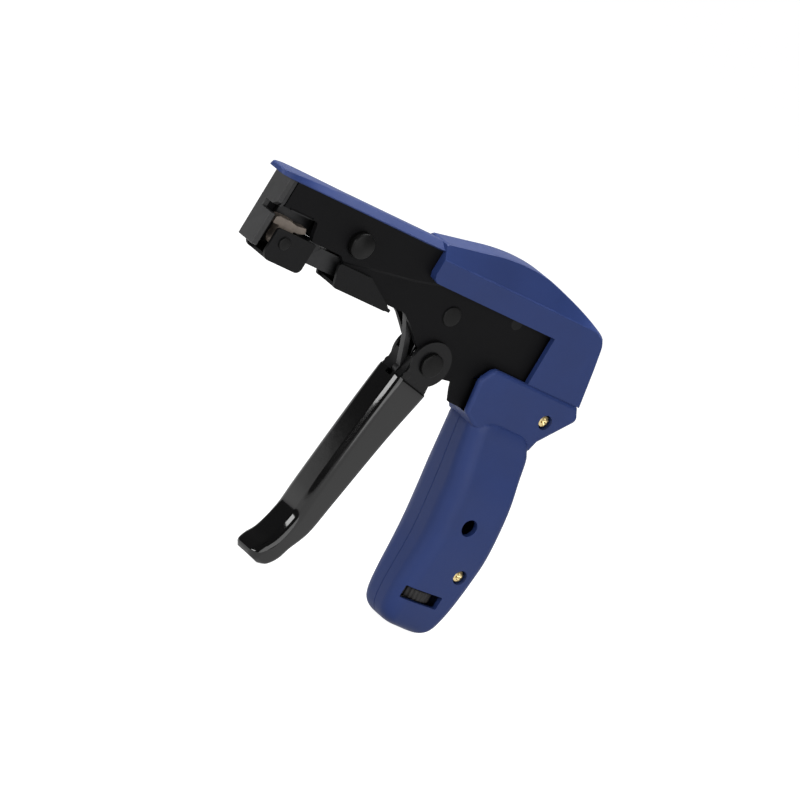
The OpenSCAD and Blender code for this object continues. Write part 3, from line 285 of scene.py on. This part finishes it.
# The nose plate is thicker hardened steel with the tie slot cut across it. Its face is
# ground before blackening, so it is greyer than the sheet behind it.

nose_grey = (0.026, 0.026, 0.027)
nose_edge = 0.3

ground_nose = surface("ground_nose", nose_grey, roughness=0.42, specular=0.32, grain=0.5,
                      grain_height=0.01, mottle=0.2, mottle_size=5)
finish_part("nose_plate", ground_nose)
soft_edges(tool["nose_plate"], nose_edge)

# Rivets and pivots are turned steel with low domed heads, pressed or riveted through both
# plates and blackened with them. The cutter's pivot has the tall head.

rivet_black = (0.005, 0.005, 0.005)
frame_half = 5.1
head_segments = 64
head_sink = 0.05
rim_share = 0.86
rim_steps = 5
# A head is its radius, its height and the radius of its edge
rivet_place = (98.9, -1.8)
rivet_head = (3.85, 0.68, 0.35)
rivet_shank = 2.5
flush_rivet_places = [(89.95, 16.4), (155.4, 5.6)]
flush_rivet_radius = 1.4
flush_rivet_set_in = 0.02
cutter_place = (43.4, 7.7)
cutter_left_head = (5.0, 3.6, 0.9)
cutter_right_head = (4.0, 1.2, 0.5)
cutter_shank = 3.0
small_pin_edge = 0.12

rivet_steel = surface("rivet_steel", rivet_black, roughness=0.38, specular=0.13, grain=0.7,
                      grain_height=0.008, mottle=0.15, mottle_size=4)


def turned(name, place, profile, finish, side=-1):
    """A turned piece about an axis across the tool. The profile's rows are radius and
    distance out from the middle, on the side that side points to, in millimetres."""
    shape = bmesh.new()
    rings = []
    for radius, out in profile:
        if radius == 0:
            rings.append([shape.verts.new((0, side * out * mm, 0))])
            continue
        rings.append([shape.verts.new((radius * mm * math.cos(a), side * out * mm,
                                       radius * mm * math.sin(a)))
                      for a in (2 * math.pi * k / head_segments for k in range(head_segments))])
    for inner, outer in zip(rings, rings[1:]):
        for k in range(head_segments):
            after = (k + 1) % head_segments
            corners = [inner[k % len(inner)], inner[after % len(inner)],
                       outer[after % len(outer)], outer[k % len(outer)]]
            corners = [c for i, c in enumerate(corners) if c not in corners[:i]]
            if len(corners) > 2:
                shape.faces.new(corners)
    bmesh.ops.recalc_face_normals(shape, faces=shape.faces)
    mesh = bpy.data.meshes.new(name)
    for face in shape.faces:
        face.smooth = True
    shape.to_mesh(mesh)
    shape.free()
    mesh.materials.append(finish)
    piece = bpy.data.objects.new(name, mesh)
    bpy.context.scene.collection.objects.link(piece)
    piece.location = Vector((place[0], 0, place[1])) * mm
    return piece


def domed_head(seat, radius, height, edge):
    """Profile of a low head that stands on a face at the distance seat."""
    turns = [math.radians(90 * k / rim_steps) for k in range(rim_steps + 1)]
    shoulder = seat + height * rim_share - edge
    rim = [(radius - edge + edge * math.cos(a), shoulder + edge * math.sin(a)) for a in turns]
    crown = [(radius - edge) * f for f in (0.75, 0.45, 0.2)]
    return ([(0, seat - head_sink), (radius, seat - head_sink)] + rim
            + [(r, seat + height * (rim_share + (1 - rim_share) * (1 - (r / (radius - edge)) ** 2)))
               for r in crown]
            + [(0, seat + height)])


def through_pin(radius, reach):
    return [(0, -reach), (radius, -reach), (radius, reach), (0, reach)]


def headed_pin(place, seat, left_head, right_head, shank_radius):
    """The heads and shank of a pin whose heads stand seat out from the tool's middle."""
    return [turned("left", place, domed_head(seat, *left_head), rivet_steel, -1),
            turned("right", place, domed_head(seat, *right_head), rivet_steel, 1),
            turned("shank", place, through_pin(shank_radius, seat), rivet_steel)]


def join_pieces(name, pieces):
    """One object from several, at the origin."""
    shape = bmesh.new()
    for piece in pieces:
        copy = piece.data.copy()
        copy.transform(piece.matrix_basis)
        shape.from_mesh(copy)
        bpy.data.meshes.remove(copy)
    mesh = bpy.data.meshes.new(name)
    for finish in pieces[0].data.materials:
        mesh.materials.append(finish)
    shape.to_mesh(mesh)
    shape.free()
    for piece in pieces:
        bpy.data.objects.remove(piece)
    whole = bpy.data.objects.new(name, mesh)
    bpy.context.scene.collection.objects.link(whole)
    return whole


flush_profile = through_pin(flush_rivet_radius, frame_half - flush_rivet_set_in)
frame_rivet = join_pieces("frame_rivet", headed_pin(rivet_place, frame_half, rivet_head,
                                                    rivet_head, rivet_shank)
                          + [turned("flush", place, flush_profile, rivet_steel)
                             for place in flush_rivet_places])
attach(frame_rivet, "frame")
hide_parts("frame_rivets")

cutter_knob = join_pieces("cutter_knob", headed_pin(cutter_place, frame_half, cutter_left_head,
                                                    cutter_right_head, cutter_shank))
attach(cutter_knob, "frame")
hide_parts("cutter_pivot")

for node in ("nose_rivets", "rocker_pin", "cover_pins"):
    finish_part(node, rivet_steel)
    soft_edges(tool[node], small_pin_edge)

# The lower guide is thinner sheet folded round the underside of the barrel, with a deep
# lip at its front.

guide_black = (0.005, 0.005, 0.0055)
guide_edge = 0.3

folded_sheet = surface("folded_sheet", guide_black, roughness=0.46, specular=0.12, grain=0.8,
                       grain_height=0.012, mottle=0.2, mottle_size=7)
finish_part("lower_guide", folded_sheet)
soft_edges(tool["lower_guide"], guide_edge)

# The cutter is a bare tool-steel blade behind the nose, driven by a long blackened lever
# that turns on the large pivot. The blade's bare steel is coloured near black. That is painted
# shade for the dark gap behind the nose where the blade sits.

blade_painted_shade = (0.03, 0.03, 0.031)
lever_grey = (0.02, 0.02, 0.021)
cutter_edge = 0.15

# The blade's near-black steel is painted shade of the gap behind the nose
ground_steel_painted_shade = surface("ground_steel_painted_shade", blade_painted_shade, roughness=0.35, metal=0.8, grain=0.3,
                       grain_height=0.004, mottle=0.12, mottle_size=3)
oiled_steel = surface("oiled_steel", lever_grey, roughness=0.4, metal=0.6, grain=0.8,
                      grain_height=0.01, mottle=0.25, mottle_size=6)
for node, finish in (("cutter_blade", ground_steel_painted_shade), ("cutter_lever", oiled_steel)):
    finish_part(node, finish)
    soft_edges(tool[node], cutter_edge)

# The gripper's carriage is a folded guard that slides back with the tie. Inside it a bare
# sintered pawl with fine teeth tips on the pin whose head shows on the guard.

pawl_colour = (0.19, 0.16, 0.135)
pawl_pin_place = (11.9, -3.5)
pawl_pin_head = (2.4, 0.8, 0.35)
pawl_pin_shank = 1.6
guard_outside = 6.5

sintered_steel = surface("sintered_steel", pawl_colour, roughness=0.5, metal=0.35, specular=0.4,
                         grain=0.4, grain_height=0.01, mottle=0.16, mottle_size=3)
for node, finish, eased in (("gripper_carriage", folded_sheet, 0.35),
                            ("pull_bar", oiled_steel, 0.2),
                            ("gripper_pawl", sintered_steel, 0.1)):
    finish_part(node, finish)
    soft_edges(tool[node], eased)

guard_pin = join_pieces("guard_pin", headed_pin(pawl_pin_place, guard_outside, pawl_pin_head,
                                                pawl_pin_head, pawl_pin_shank))
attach(guard_pin, "carriage")
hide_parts("pawl_pin")

# Three springs press on the pawl, the trigger and the tension nut. They are wound from
# hard-drawn wire and left oiled.

wire_grey = (0.20, 0.20, 0.205)

spring_wire = surface("spring_wire", wire_grey, roughness=0.32, metal=0.9, grain=0.4,
                      grain_height=0.003, mottle=0.1, mottle_size=3)
for node in ("pawl_spring", "return_spring", "tension_spring"):
    finish_part(node, spring_wire)
    weld = tool[node].modifiers.new("joined", "WELD")
    weld.merge_threshold = weld_gap * mm
    rounded_wire = tool[node].modifiers.new("rounded", "SUBSURF")
    rounded_wire.levels = rounded_wire.render_levels = 1
    for face in tool[node].data.polygons:
        face.use_smooth = True

# The drive link, its pin in the pull bar and the rocker sit between the plates. They are cut
# from thick steel and left oiled.

linkage_edge = 0.15

for node in ("bar_pin", "drive_link", "tension_rocker"):
    finish_part(node, oiled_steel)
    soft_edges(tool[node], linkage_edge)

# The trigger is a pressed steel channel with round ears. Below the ears it is dipped in
# glossy black vinyl, which rounds its corners and leaves the back of the channel open.

channel_black = (0.005, 0.005, 0.0055)
coat_black = (0.0015, 0.0015, 0.0016)
coat_width = 14.8
coat_front_radius = 3.4
coat_rear_radius = 2.0
# Front edge (x, z), rear edge (x, z) and width share of the coating, from its top down
coat_stations = [((90.4, -29.2), (107.1, -32.2), 0.96),
                 ((89.9, -31.6), (106.5, -34.4), 1.0),
                 ((87.5, -50.5), (102.0, -53.0), 1.0),
                 ((84.3, -80.7), (96.4, -82.0), 1.0),
                 ((83.2, -92.6), (93.7, -95.5), 1.0),
                 ((80.3, -102.3), (89.7, -103.4), 1.0),
                 ((77.1, -106.9), (87.5, -108.5), 1.0),
                 ((75.5, -110.1), (84.5, -112.2), 0.93),
                 ((76.4, -112.1), (81.4, -113.5), 0.74)]
coat_steps = 5
# The hollow of the channel: how many stations it runs down, its half width, the wall that it
# leaves at the front, and how far it is cut past the coating's rear and top
hollow_stations = 6
hollow_half = 4.3
hollow_wall = 3.2
hollow_past = 9
link_slot_outline = [(85, -30.95), (96.5, -30.95), (96.5, -12), (85, -12)]
link_slot_reach = (-3.1, 0.3)
coat_edge = 0.45
trigger_place = (101.2, -20.8)
trigger_head = (4.6, 1.7, 0.5)
trigger_shank = 2.4
ear_outside = 6.7

pressed_steel = surface("pressed_steel", channel_black, roughness=0.33, specular=0.18, grain=0.8,
                        grain_height=0.012, mottle=0.15, mottle_size=6)
dipped_vinyl = surface("dipped_vinyl", coat_black, roughness=0.06, specular=0.42, grain=6.0,
                       grain_height=0.008, mottle=0.1, mottle_size=12, rough_spread=0.02)
for node, eased in (("trigger_lever", 0.4), ("link_pin", 0.1)):
    finish_part(node, pressed_steel)
    soft_edges(tool[node], eased)


def between(rows, steps):
    """The rows with a smooth curve drawn through them, steps to each gap."""
    smooth = []
    for i in range(len(rows) - 1):
        before, start = rows[max(i - 1, 0)], rows[i]
        end, after = rows[i + 1], rows[min(i + 2, len(rows) - 1)]
        for k in range(steps):
            t = k / steps
            smooth.append([0.5 * (2 * b + (c - a) * t + (2 * a - 5 * b + 4 * c - d) * t * t
                                  + (3 * b - a - 3 * c + d) * t ** 3)
                           for a, b, c, d in zip(before, start, end, after)])
    return smooth + [list(rows[-1])]


def lofted(name, rings, finish):
    """Closed skin through rings of points in millimetres, capped at both ends."""
    shape = bmesh.new()
    rows = [[shape.verts.new(Vector(p) * mm) for p in ring] for ring in rings]
    count = len(rows[0])
    for upper, lower in zip(rows, rows[1:]):
        for k in range(count):
            after = (k + 1) % count
            shape.faces.new([upper[k], upper[after], lower[after], lower[k]])
    shape.faces.new(rows[0])
    shape.faces.new(reversed(rows[-1]))
    bmesh.ops.recalc_face_normals(shape, faces=shape.faces)
    mesh = bpy.data.meshes.new(name)
    for face in shape.faces:
        face.smooth = True
    shape.to_mesh(mesh)
    shape.free()
    mesh.materials.append(finish)
    piece = bpy.data.objects.new(name, mesh)
    bpy.context.scene.collection.objects.link(piece)
    return piece


def prism(name, outline, low, high, finish):
    """Straight piece across the tool over an outline of (x, z) points."""
    return lofted(name, [[(x, low, z) for x, z in outline], [(x, high, z) for x, z in outline]],
                  finish)


def cut(piece, cutters, operation="DIFFERENCE"):
    """Cuts away, or joins, each of the other pieces, which are used up."""
    for cutter in cutters:
        change = piece.modifiers.new("cut", "BOOLEAN")
        change.operation = operation
        change.object = cutter
        change.solver = "MANIFOLD"
        with bpy.context.temp_override(object=piece, active_object=piece):
            bpy.ops.object.modifier_apply(modifier=change.name)
        bpy.data.objects.remove(cutter)


def coat_ring(front_x, front_z, rear_x, rear_z, share):
    """One section of the coating, with its four corners rounded as far as it has room."""
    half = coat_width * share / 2
    steps = 6
    points = []
    for cx, cy, radius, start in ((front_x, half, coat_front_radius, 90),
                                  (front_x, -half, coat_front_radius, 180),
                                  (rear_x, -half, coat_rear_radius, 270),
                                  (rear_x, half, coat_rear_radius, 0)):
        radius = min(radius, (rear_x - front_x) * 0.45, half * 0.9)
        mid_x = cx + radius if cx == front_x else cx - radius
        mid_y = cy - radius if cy > 0 else cy + radius
        for k in range(steps + 1):
            a = math.radians(start + 90 * k / steps)
            points.append((mid_x + radius * math.cos(a), mid_y + radius * math.sin(a)))
    return [(x, y, front_z + (rear_z - front_z) * (x - front_x) / (rear_x - front_x))
            for x, y in points]


coat_rows = between([[*front, *rear, share] for front, rear, share in coat_stations], coat_steps)
coating = lofted("trigger_coating", [coat_ring(*row) for row in coat_rows], dipped_vinyl)
hollow_front = [(x + hollow_wall, z) for (x, z), _, _ in coat_stations[:hollow_stations]]
hollow_rear = [(x + hollow_past, z) for _, (x, z), _ in coat_stations[:hollow_stations]]
above_front, above_rear = [(x, z + hollow_past) for x, z in (hollow_front[0], hollow_rear[0])]
cut(coating, [prism("hollow", [above_front, *hollow_front, *hollow_rear[::-1], above_rear],
                    -hollow_half, hollow_half, dipped_vinyl),
              prism("link_slot", link_slot_outline, *link_slot_reach, dipped_vinyl)])
soft_edges(coating, coat_edge, segments=3, angle=40)
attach(coating, "trigger")
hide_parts("trigger_sleeve")

trigger_rivet = join_pieces("trigger_rivet", headed_pin(trigger_place, ear_outside, trigger_head,
                                                        trigger_head, trigger_shank))
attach(trigger_rivet, "frame")
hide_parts("trigger_pivot")

# Below the rear of the left plate a blackened web closes the space between the two halves
# of the grip, down to where the grip's front begins. It is set in by the sheet's thickness.

web_outline = [(112.0, -19.0), (115.2, -22.4), (117.0, -26.5), (119.4, -30.7), (130.6, -31.0),
               (130.6, -19.0)]
web_outside = -4.8
web_inside = -3.4
web_edge = 0.25

web = prism("frame_web", web_outline, web_outside, web_inside, blackened_sheet)
soft_edges(web, web_edge)
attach(web, "frame")

# The tension linkage inside the grip is bright steel. The ribbed black wheel on its screw
# shows in the window of the grip and sets the pull at which the tie is cut.

bright_grey = (0.36, 0.36, 0.37)
rod_edge = 0.2
wheel_black = (0.016, 0.015, 0.0148)
wheel_place = (153.8, -99.9)
rod_lean = 3.5
wheel_radius = 9.6
wheel_half = 2.2
wheel_ribs = 32
rib_depth = 0.55
points_per_rib = 8
# How far the wheel's edge is drawn in, and at what distance from its face
wheel_edge = [(0.7, 0.0), (0.2, 0.15), (0.0, 0.6)]

bright_rod = surface("bright_rod", bright_grey, roughness=0.28, metal=1.0, grain=0.5,
                     grain_height=0.004, mottle=0.1, mottle_size=5)
for node in ("tension_rod", "tension_screw", "tension_nut", "spring_washer"):
    finish_part(node, bright_rod)
    soft_edges(tool[node], rod_edge)

moulded_black = surface("moulded_black", wheel_black, roughness=0.5, specular=0.3, grain=0.6,
                        grain_height=0.015, mottle=0.12, mottle_size=4)


def rib_ring(shrink, height):
    """One ring of the wheel. Half of each rib's share of it is a round groove."""
    points = wheel_ribs * points_per_rib
    lean = Matrix.Rotation(math.radians(-rod_lean), 4, "Y")
    ring = []
    for k in range(points):
        phase = (k % points_per_rib) / points_per_rib
        dip = rib_depth * max(0.0, math.sin(2 * math.pi * phase)) ** 0.5 if phase < 0.5 else 0.0
        radius = wheel_radius - dip - shrink
        a = 2 * math.pi * k / points
        place = lean @ Vector((radius * math.cos(a), radius * math.sin(a), height))
        ring.append((wheel_place[0] + place.x, place.y, wheel_place[1] + place.z))
    return ring


wheel = lofted("setting_wheel",
               [rib_ring(shrink, -wheel_half + deep) for shrink, deep in wheel_edge]
               + [rib_ring(shrink, wheel_half - deep) for shrink, deep in reversed(wheel_edge)],
               moulded_black)
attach(wheel, "wheel")
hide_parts("thumbwheel")

# The top cover is one blue moulding: a flat strip along the barrel and a humped housing
# over the rear of the frame. Its faces have the fine sparked texture of the mould.

cover_blue = (0.018, 0.038, 0.15)
strip_low = 18.4
strip_foot_share = 0.15
strip_soft = 0.5
# Along the strip: x, half width at the base, top, half width of the flat top
strip_stations = [(-4.0, 3.66, 19.91, 2.75), (-3.41, 4.76, 20.34, 3.66),
                  (-1.97, 5.67, 20.56, 4.51), (0.65, 6.1, 20.72, 4.88), (5.2, 6.1, 20.86, 4.58),
                  (13.4, 6.1, 20.97, 3.54), (29.8, 6.1, 21.1, 1.83), (79.7, 6.1, 21.1, 1.83)]
# Along the housing: x, top and half width of the flat top, and the lower edge at its front
lip_stations = [(79.2, 21.0, 5.0, 10.1), (80.0, 21.6, 5.0, 8.2)]
front_stations = [(82.0, 21.95, 5.0), (93.3, 23.83, 5.0), (106.4, 25.95, 5.0),
                  (118.0, 26.57, 5.0), (130.2, 25.65, 5.0), (144.65, 22.4, 5.0)]
rear_stations = [(144.93, 22.33, 5.0), (152.0, 20.4, 5.25), (158.9, 18.2, 5.6),
                 (163.8, 16.35, 6.2)]
back_corner = [(165.0, 15.7, 6.5), (165.9, 14.9, 6.8), (166.6, 13.7, 7.0), (167.2, 11.9, 7.2),
               (169.15, 4.7, 7.48), (172.7, -10.37, 7.48)]
front_steps = 6
rear_steps = 5
housing_half = 8.5
housing_low = 7.3
seam_z = -11.9
crease_top = 16.7
crease_drop = 1.05
crease_soft = 0.52
# Outlines (x, z) and half widths of the rooms inside the cover, and of the tongue
frame_room = [(79, -13), (168.5, -13), (168.5, 0), (163.1, 12.5), (155.0, 15.65), (147.2, 18.4),
              (79, 18.4)]
frame_room_half = 5.25
side_pockets = [(81.3, -13), (168.5, -13), (167.7, 0), (162.4, 10.4), (159.1, 12.5), (81.3, 14.6)]
side_pockets_half = 6.4
roof_hollow = [(93.3, 17.4), (147.2, 17.4), (147.2, 19.7), (144.6, 20.3), (130.2, 23.5),
               (118.0, 24.4), (106.4, 23.8), (93.3, 21.7)]
roof_hollow_half = 3.4
tongue_outline = [(113.0, 12), (141.0, 12), (141.0, 22.6), (131.0, 24.6), (119.2, 25.4),
                  (113.0, 25.2)]
tongue_half = 2.95
cover_edge = 0.5

moulded_blue = surface("moulded_blue", cover_blue, roughness=0.52, specular=0.3, grain=0.75,
                       grain_height=0.03, mottle=0.07, mottle_size=20, rough_spread=0.03)


def mirrored(x, side):
    """A ring from the points (y, z) of its one side, going up."""
    return [(x, y, z) for y, z in side] + [(x, -y, z) for y, z in reversed(side)]


def strip_ring(x, half, top, flat):
    foot = strip_low + (top - strip_low) * strip_foot_share
    return mirrored(x, [(half, strip_low), (half, foot),
                        (flat + strip_soft, top - strip_soft / 2), (flat - strip_soft, top)])


def housing_ring(x, top, flat, low):
    crease = min(crease_top, top - crease_drop)
    return mirrored(x, [(housing_half, low), (housing_half, crease - crease_soft),
                        (housing_half - crease_soft, crease),
                        (flat + crease_soft, top - crease_soft / 2), (flat - crease_soft, top)])


cover = lofted("cover", [strip_ring(*row) for row in strip_stations], moulded_blue)
housing_rows = [housing_ring(*row) for row in lip_stations]
housing_rows += [housing_ring(*row, housing_low) for row in between(front_stations, front_steps)]
housing_rows += [housing_ring(*row, seam_z)
                 for row in between(rear_stations, rear_steps) + back_corner]
cut(cover, [lofted("housing", housing_rows, moulded_blue)], "UNION")
cut(cover, [prism(name, outline, -half, half, moulded_blue)
            for name, outline, half in (("frame_room", frame_room, frame_room_half),
                                        ("side_pockets", side_pockets, side_pockets_half),
                                        ("roof_hollow", roof_hollow, roof_hollow_half))])
cut(cover, [prism("tongue", tongue_outline, -tongue_half, tongue_half, moulded_blue)], "UNION")
soft_edges(cover, cover_edge, segments=3, angle=26)
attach(cover, "frame")
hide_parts("top_cover")

# The grip is two blue moulded halves that meet along the middle of the tool and close round
# the frame's tail. Each has a flat flange above and a full, rounded grip below a shoulder.

flange_half = 9.4
flange_edge = 1.5
grip_wall = 2.2
shell_edge = 0.3
# The groove along the parting line: its depth, and its width in each half
parting_deep = 0.3
parting_wide = 0.3
# Outline of the left flange: x, z and the radius of the corner. The right one starts further back
left_front = [(127.4, seam_z, 3.9), (123.5, -17.7, 3.9), (126.0, -31.0, 2.2)]
right_front = [(129.4, seam_z, 2.2), (128.3, -18.7, 2.2), (129.8, -31.0, 0.9)]
flange_rear = [(132.9, -34.5, 0.9), (162.2, -34.5, 0.9), (163.5, -30.0, 0.9),
               (175.05, -16.6, 2.6), (171.8, seam_z, 0.9)]
# Height, front, rear and half thickness of the grip, from its shoulder down
grip_stations = [(-29.9, 140.5, 155.5, 9.3), (-30.5, 136.8, 158.0, 9.9),
                 (-32.2, 133.2, 161.0, 10.35), (-34.8, 132.4, 162.5, 10.6),
                 (-38.0, 132.9, 164.4, 10.75), (-46.0, 134.7, 166.3, 11.4),
                 (-55.0, 136.8, 168.5, 12.3), (-65.0, 138.8, 170.5, 12.38),
                 (-77.0, 140.9, 171.9, 12.3), (-87.0, 141.7, 172.0, 11.6),
                 (-98.3, 142.1, 171.4, 10.65), (-105.7, 142.8, 170.2, 10.0),
                 (-109.8, 143.9, 168.9, 9.4), (-112.1, 145.5, 167.0, 8.55),
                 (-113.5, 147.6, 164.4, 7.2), (-114.25, 150.0, 161.5, 5.2)]
grip_steps = 5
# How full the grip's front and rear corners are, as shares of its length and half thickness
front_round = (0.24, 0.58)
rear_round = (0.13, 0.38)
# Inside each half: the room for the frame's tail (x, z), and the heights between which the
# grip's stations give the cavity its shape
tail_room = [(85, -10.9), (85, -31.1), (134.2, -31.1), (134.2, -36.7), (160.3, -36.7),
             (161.3, -30.0), (171.8, -16.6), (169.4, -10.9)]
cavity_low = -110
cavity_high = -34
cavity_steps = 2
window_length = 17.6
window_height = 5.2
window_corner = 0.5
wheel_room_radius = 9.9
wheel_room_sides = 64
ear_screw_place = (161.4, -22.0)
ear_recess_floor = 6.9
grip_screw_place = (163.7, -87.1)
grip_recess_floor = 9.0
recess_radius = 2.9
sight_place = (154.1, -68.7)
sight_radius = 3.4
sight_floor = 5
bore_sides = 48
# Cutters run from outside the half to a little past the tool's middle
cut_outside = -15
cut_past_middle = 1


def rounded(corners, steps=6):
    """Outline whose corners, each x, z and radius, are rounded."""
    points = []
    for i, (x, z, radius) in enumerate(corners):
        here = Vector((x, z))
        back = (Vector(corners[i - 1][:2]) - here)
        on = (Vector(corners[(i + 1) % len(corners)][:2]) - here)
        half = back.angle(on) / 2
        reach = min(radius / math.tan(half), back.length / 2.05, on.length / 2.05)
        turn = reach * math.tan(half)
        middle = here + (back.normalized() + on.normalized()).normalized() * turn / math.sin(half)
        first = here + back.normalized() * reach - middle
        last = here + on.normalized() * reach - middle
        for k in range(steps + 1):
            ray = first.lerp(last, k / steps).normalized() * turn
            points.append((middle.x + ray.x, middle.y + ray.y))
    return points


def drawn_in(corners, by):
    """The corners of an outline that runs anticlockwise, with its edges moved inwards."""
    moved = []
    for i, (x, z, radius) in enumerate(corners):
        back = (Vector((x, z)) - Vector(corners[i - 1][:2])).normalized()
        on = (Vector(corners[(i + 1) % len(corners)][:2]) - Vector((x, z))).normalized()
        bend = back.x * on.y - back.y * on.x
        inward = (Vector((-back.y, back.x)) + Vector((-on.y, on.x))).normalized()
        reach = by / max(inward.dot(Vector((-on.y, on.x))), 0.3)
        moved.append((x + inward.x * reach, z + inward.y * reach,
                      max(radius - by if bend > 0 else radius + by, 0.2)))
    return moved


def grip_ring(station, inset, reach):
    """One half ring, on the left side, from the front of the plane y = reach to its rear."""
    z, front, rear, half = station
    front, rear, half = front + inset, rear - inset, half - inset
    long = rear - front
    steps = 10
    ring = [(front + parting_deep, reach, z), (front, reach - parting_wide, z)]
    for start, (share, depth) in ((180, front_round), (270, rear_round)):
        across, deep = long * share, half * depth
        middle = front + across if start == 180 else rear - across
        for k in range(steps + 1):
            a = math.radians(start + 90 * k / steps)
            ring.append((middle + across * math.cos(a), -half + deep + deep * math.sin(a), z))
    return ring + [(rear, reach - parting_wide, z), (rear - parting_deep, reach, z)]


def circle(radius, sides):
    return [(radius * math.cos(2 * math.pi * k / sides), radius * math.sin(2 * math.pi * k / sides))
            for k in range(sides)]


def grip_shell(name, flange):
    """The flange with its rounded edge, joined to the lofted grip."""
    levels = [(0, parting_deep), (-parting_wide, 0), (-flange_half + flange_edge, 0)]
    levels += [(-flange_half + flange_edge * (1 - math.sin(math.radians(a))),
                flange_edge * (1 - math.cos(math.radians(a)))) for a in (22.5, 45, 67.5, 90)]
    upper = lofted(name + "_flange", [[(x, y, z) for x, z in rounded(drawn_in(flange, inset))]
                                      for y, inset in levels], moulded_blue)
    shell = lofted(name, [grip_ring(row, 0, 0) for row in between(grip_stations, grip_steps)],
                   moulded_blue)
    cut(shell, [upper], "UNION")
    return shell


def grip_rooms():
    """Cutters for the inside of a half: the frame's tail, the linkage, the wheel's window and
    the wheel itself."""
    tail = prism("tail_room", tail_room, -flange_half + grip_wall, cut_past_middle, moulded_blue)
    hollow_rows = [row for row in grip_stations if cavity_low < row[0] < cavity_high]
    cavity = lofted("cavity", [grip_ring(row, grip_wall, cut_past_middle)
                               for row in between(hollow_rows, cavity_steps)], moulded_blue)
    lean = (Matrix.Translation(Vector((wheel_place[0], 0, wheel_place[1])))
            @ Matrix.Rotation(math.radians(-rod_lean), 4, "Y"))
    half_long, half_high = window_length / 2, window_height / 2
    window_ring = rounded([(-half_long, -half_high, window_corner),
                           (half_long, -half_high, window_corner),
                           (half_long, half_high, window_corner),
                           (-half_long, half_high, window_corner)])
    window = lofted("window", [[tuple(lean @ Vector((x, y, z))) for x, z in window_ring]
                               for y in (cut_outside, cut_past_middle)], moulded_blue)
    wheel_room = lofted("wheel_room", [[tuple(lean @ Vector((x, y, z)))
                                        for x, y in circle(wheel_room_radius, wheel_room_sides)]
                                       for z in (-half_high, half_high)], moulded_blue)
    return [tail, cavity, window, wheel_room]


def left_bores():
    """Cutters for the two screw recesses and the round sight hole."""
    return [prism("bore", [(x + u, z + v) for u, v in circle(radius, bore_sides)],
                  cut_outside, -floor_out, moulded_blue)
            for (x, z), radius, floor_out in ((ear_screw_place, recess_radius, ear_recess_floor),
                                              (grip_screw_place, recess_radius, grip_recess_floor),
                                              (sight_place, sight_radius, sight_floor))]


left_grip = grip_shell("left_grip_half", left_front + flange_rear)
cut(left_grip, grip_rooms() + left_bores())
soft_edges(left_grip, shell_edge, angle=38)
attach(left_grip, "frame")
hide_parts("left_handle_shell")

right_grip = grip_shell("right_grip_half", right_front + flange_rear)
cut(right_grip, grip_rooms())
right_grip.data.transform(Matrix.Scale(-1, 4, (0, 1, 0)))
right_grip.data.flip_normals()
soft_edges(right_grip, shell_edge, angle=38)
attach(right_grip, "frame")
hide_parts("right_handle_shell")

# Two yellow-zinc screws with cross recesses hold the halves together. Their heads sit at
# the bottom of round recesses in the left half.

zinc_yellow = (0.62, 0.49, 0.24)
screw_head = (2.5, 1.7, 0.6)
screw_shank = 1.45
ear_screw_reach = 7.7
grip_screw_reach = 8.0
# The cross recess: how its arms are turned, and their half length, half width and distance
# out from the head's crown at the mouth and at the floor
cross_turns = (20, 110)
cross_mouth = (1.55, 0.42, 0.2)
cross_floor = (0.75, 0.26, -1.1)

yellow_zinc = surface("yellow_zinc", zinc_yellow, roughness=0.26, metal=1.0, grain=0.5,
                      grain_height=0.01, mottle=0.18, mottle_size=1.2)


def cross_head_screw(place, seat, reach):
    """A screw whose head stands on a floor seat out from the middle, and ends at reach."""
    head = turned("head", place, domed_head(seat, *screw_head), yellow_zinc, -1)
    head.data.transform(head.matrix_basis)
    head.matrix_basis = Matrix.Identity(4)
    crown = seat + screw_head[1]
    arms = []
    for turn in cross_turns:
        c, s = math.cos(math.radians(turn)), math.sin(math.radians(turn))
        arms.append(lofted("arm", [[(place[0] + u * c - v * s, -crown - out,
                                     place[1] + u * s + v * c)
                                    for u, v in ((-long, -thick), (long, -thick),
                                                 (long, thick), (-long, thick))]
                                   for long, thick, out in (cross_mouth, cross_floor)],
                           yellow_zinc))
    cut(head, arms)
    shank = turned("shank", place, [(0, -reach), (screw_shank, -reach), (screw_shank, seat),
                                    (0, seat)], yellow_zinc, -1)
    return [head, shank]


screws = join_pieces("grip_screws",
                     cross_head_screw(ear_screw_place, ear_recess_floor, ear_screw_reach)
                     + cross_head_screw(grip_screw_place, grip_recess_floor, grip_screw_reach))
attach(screws, "frame")
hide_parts("handle_screws")
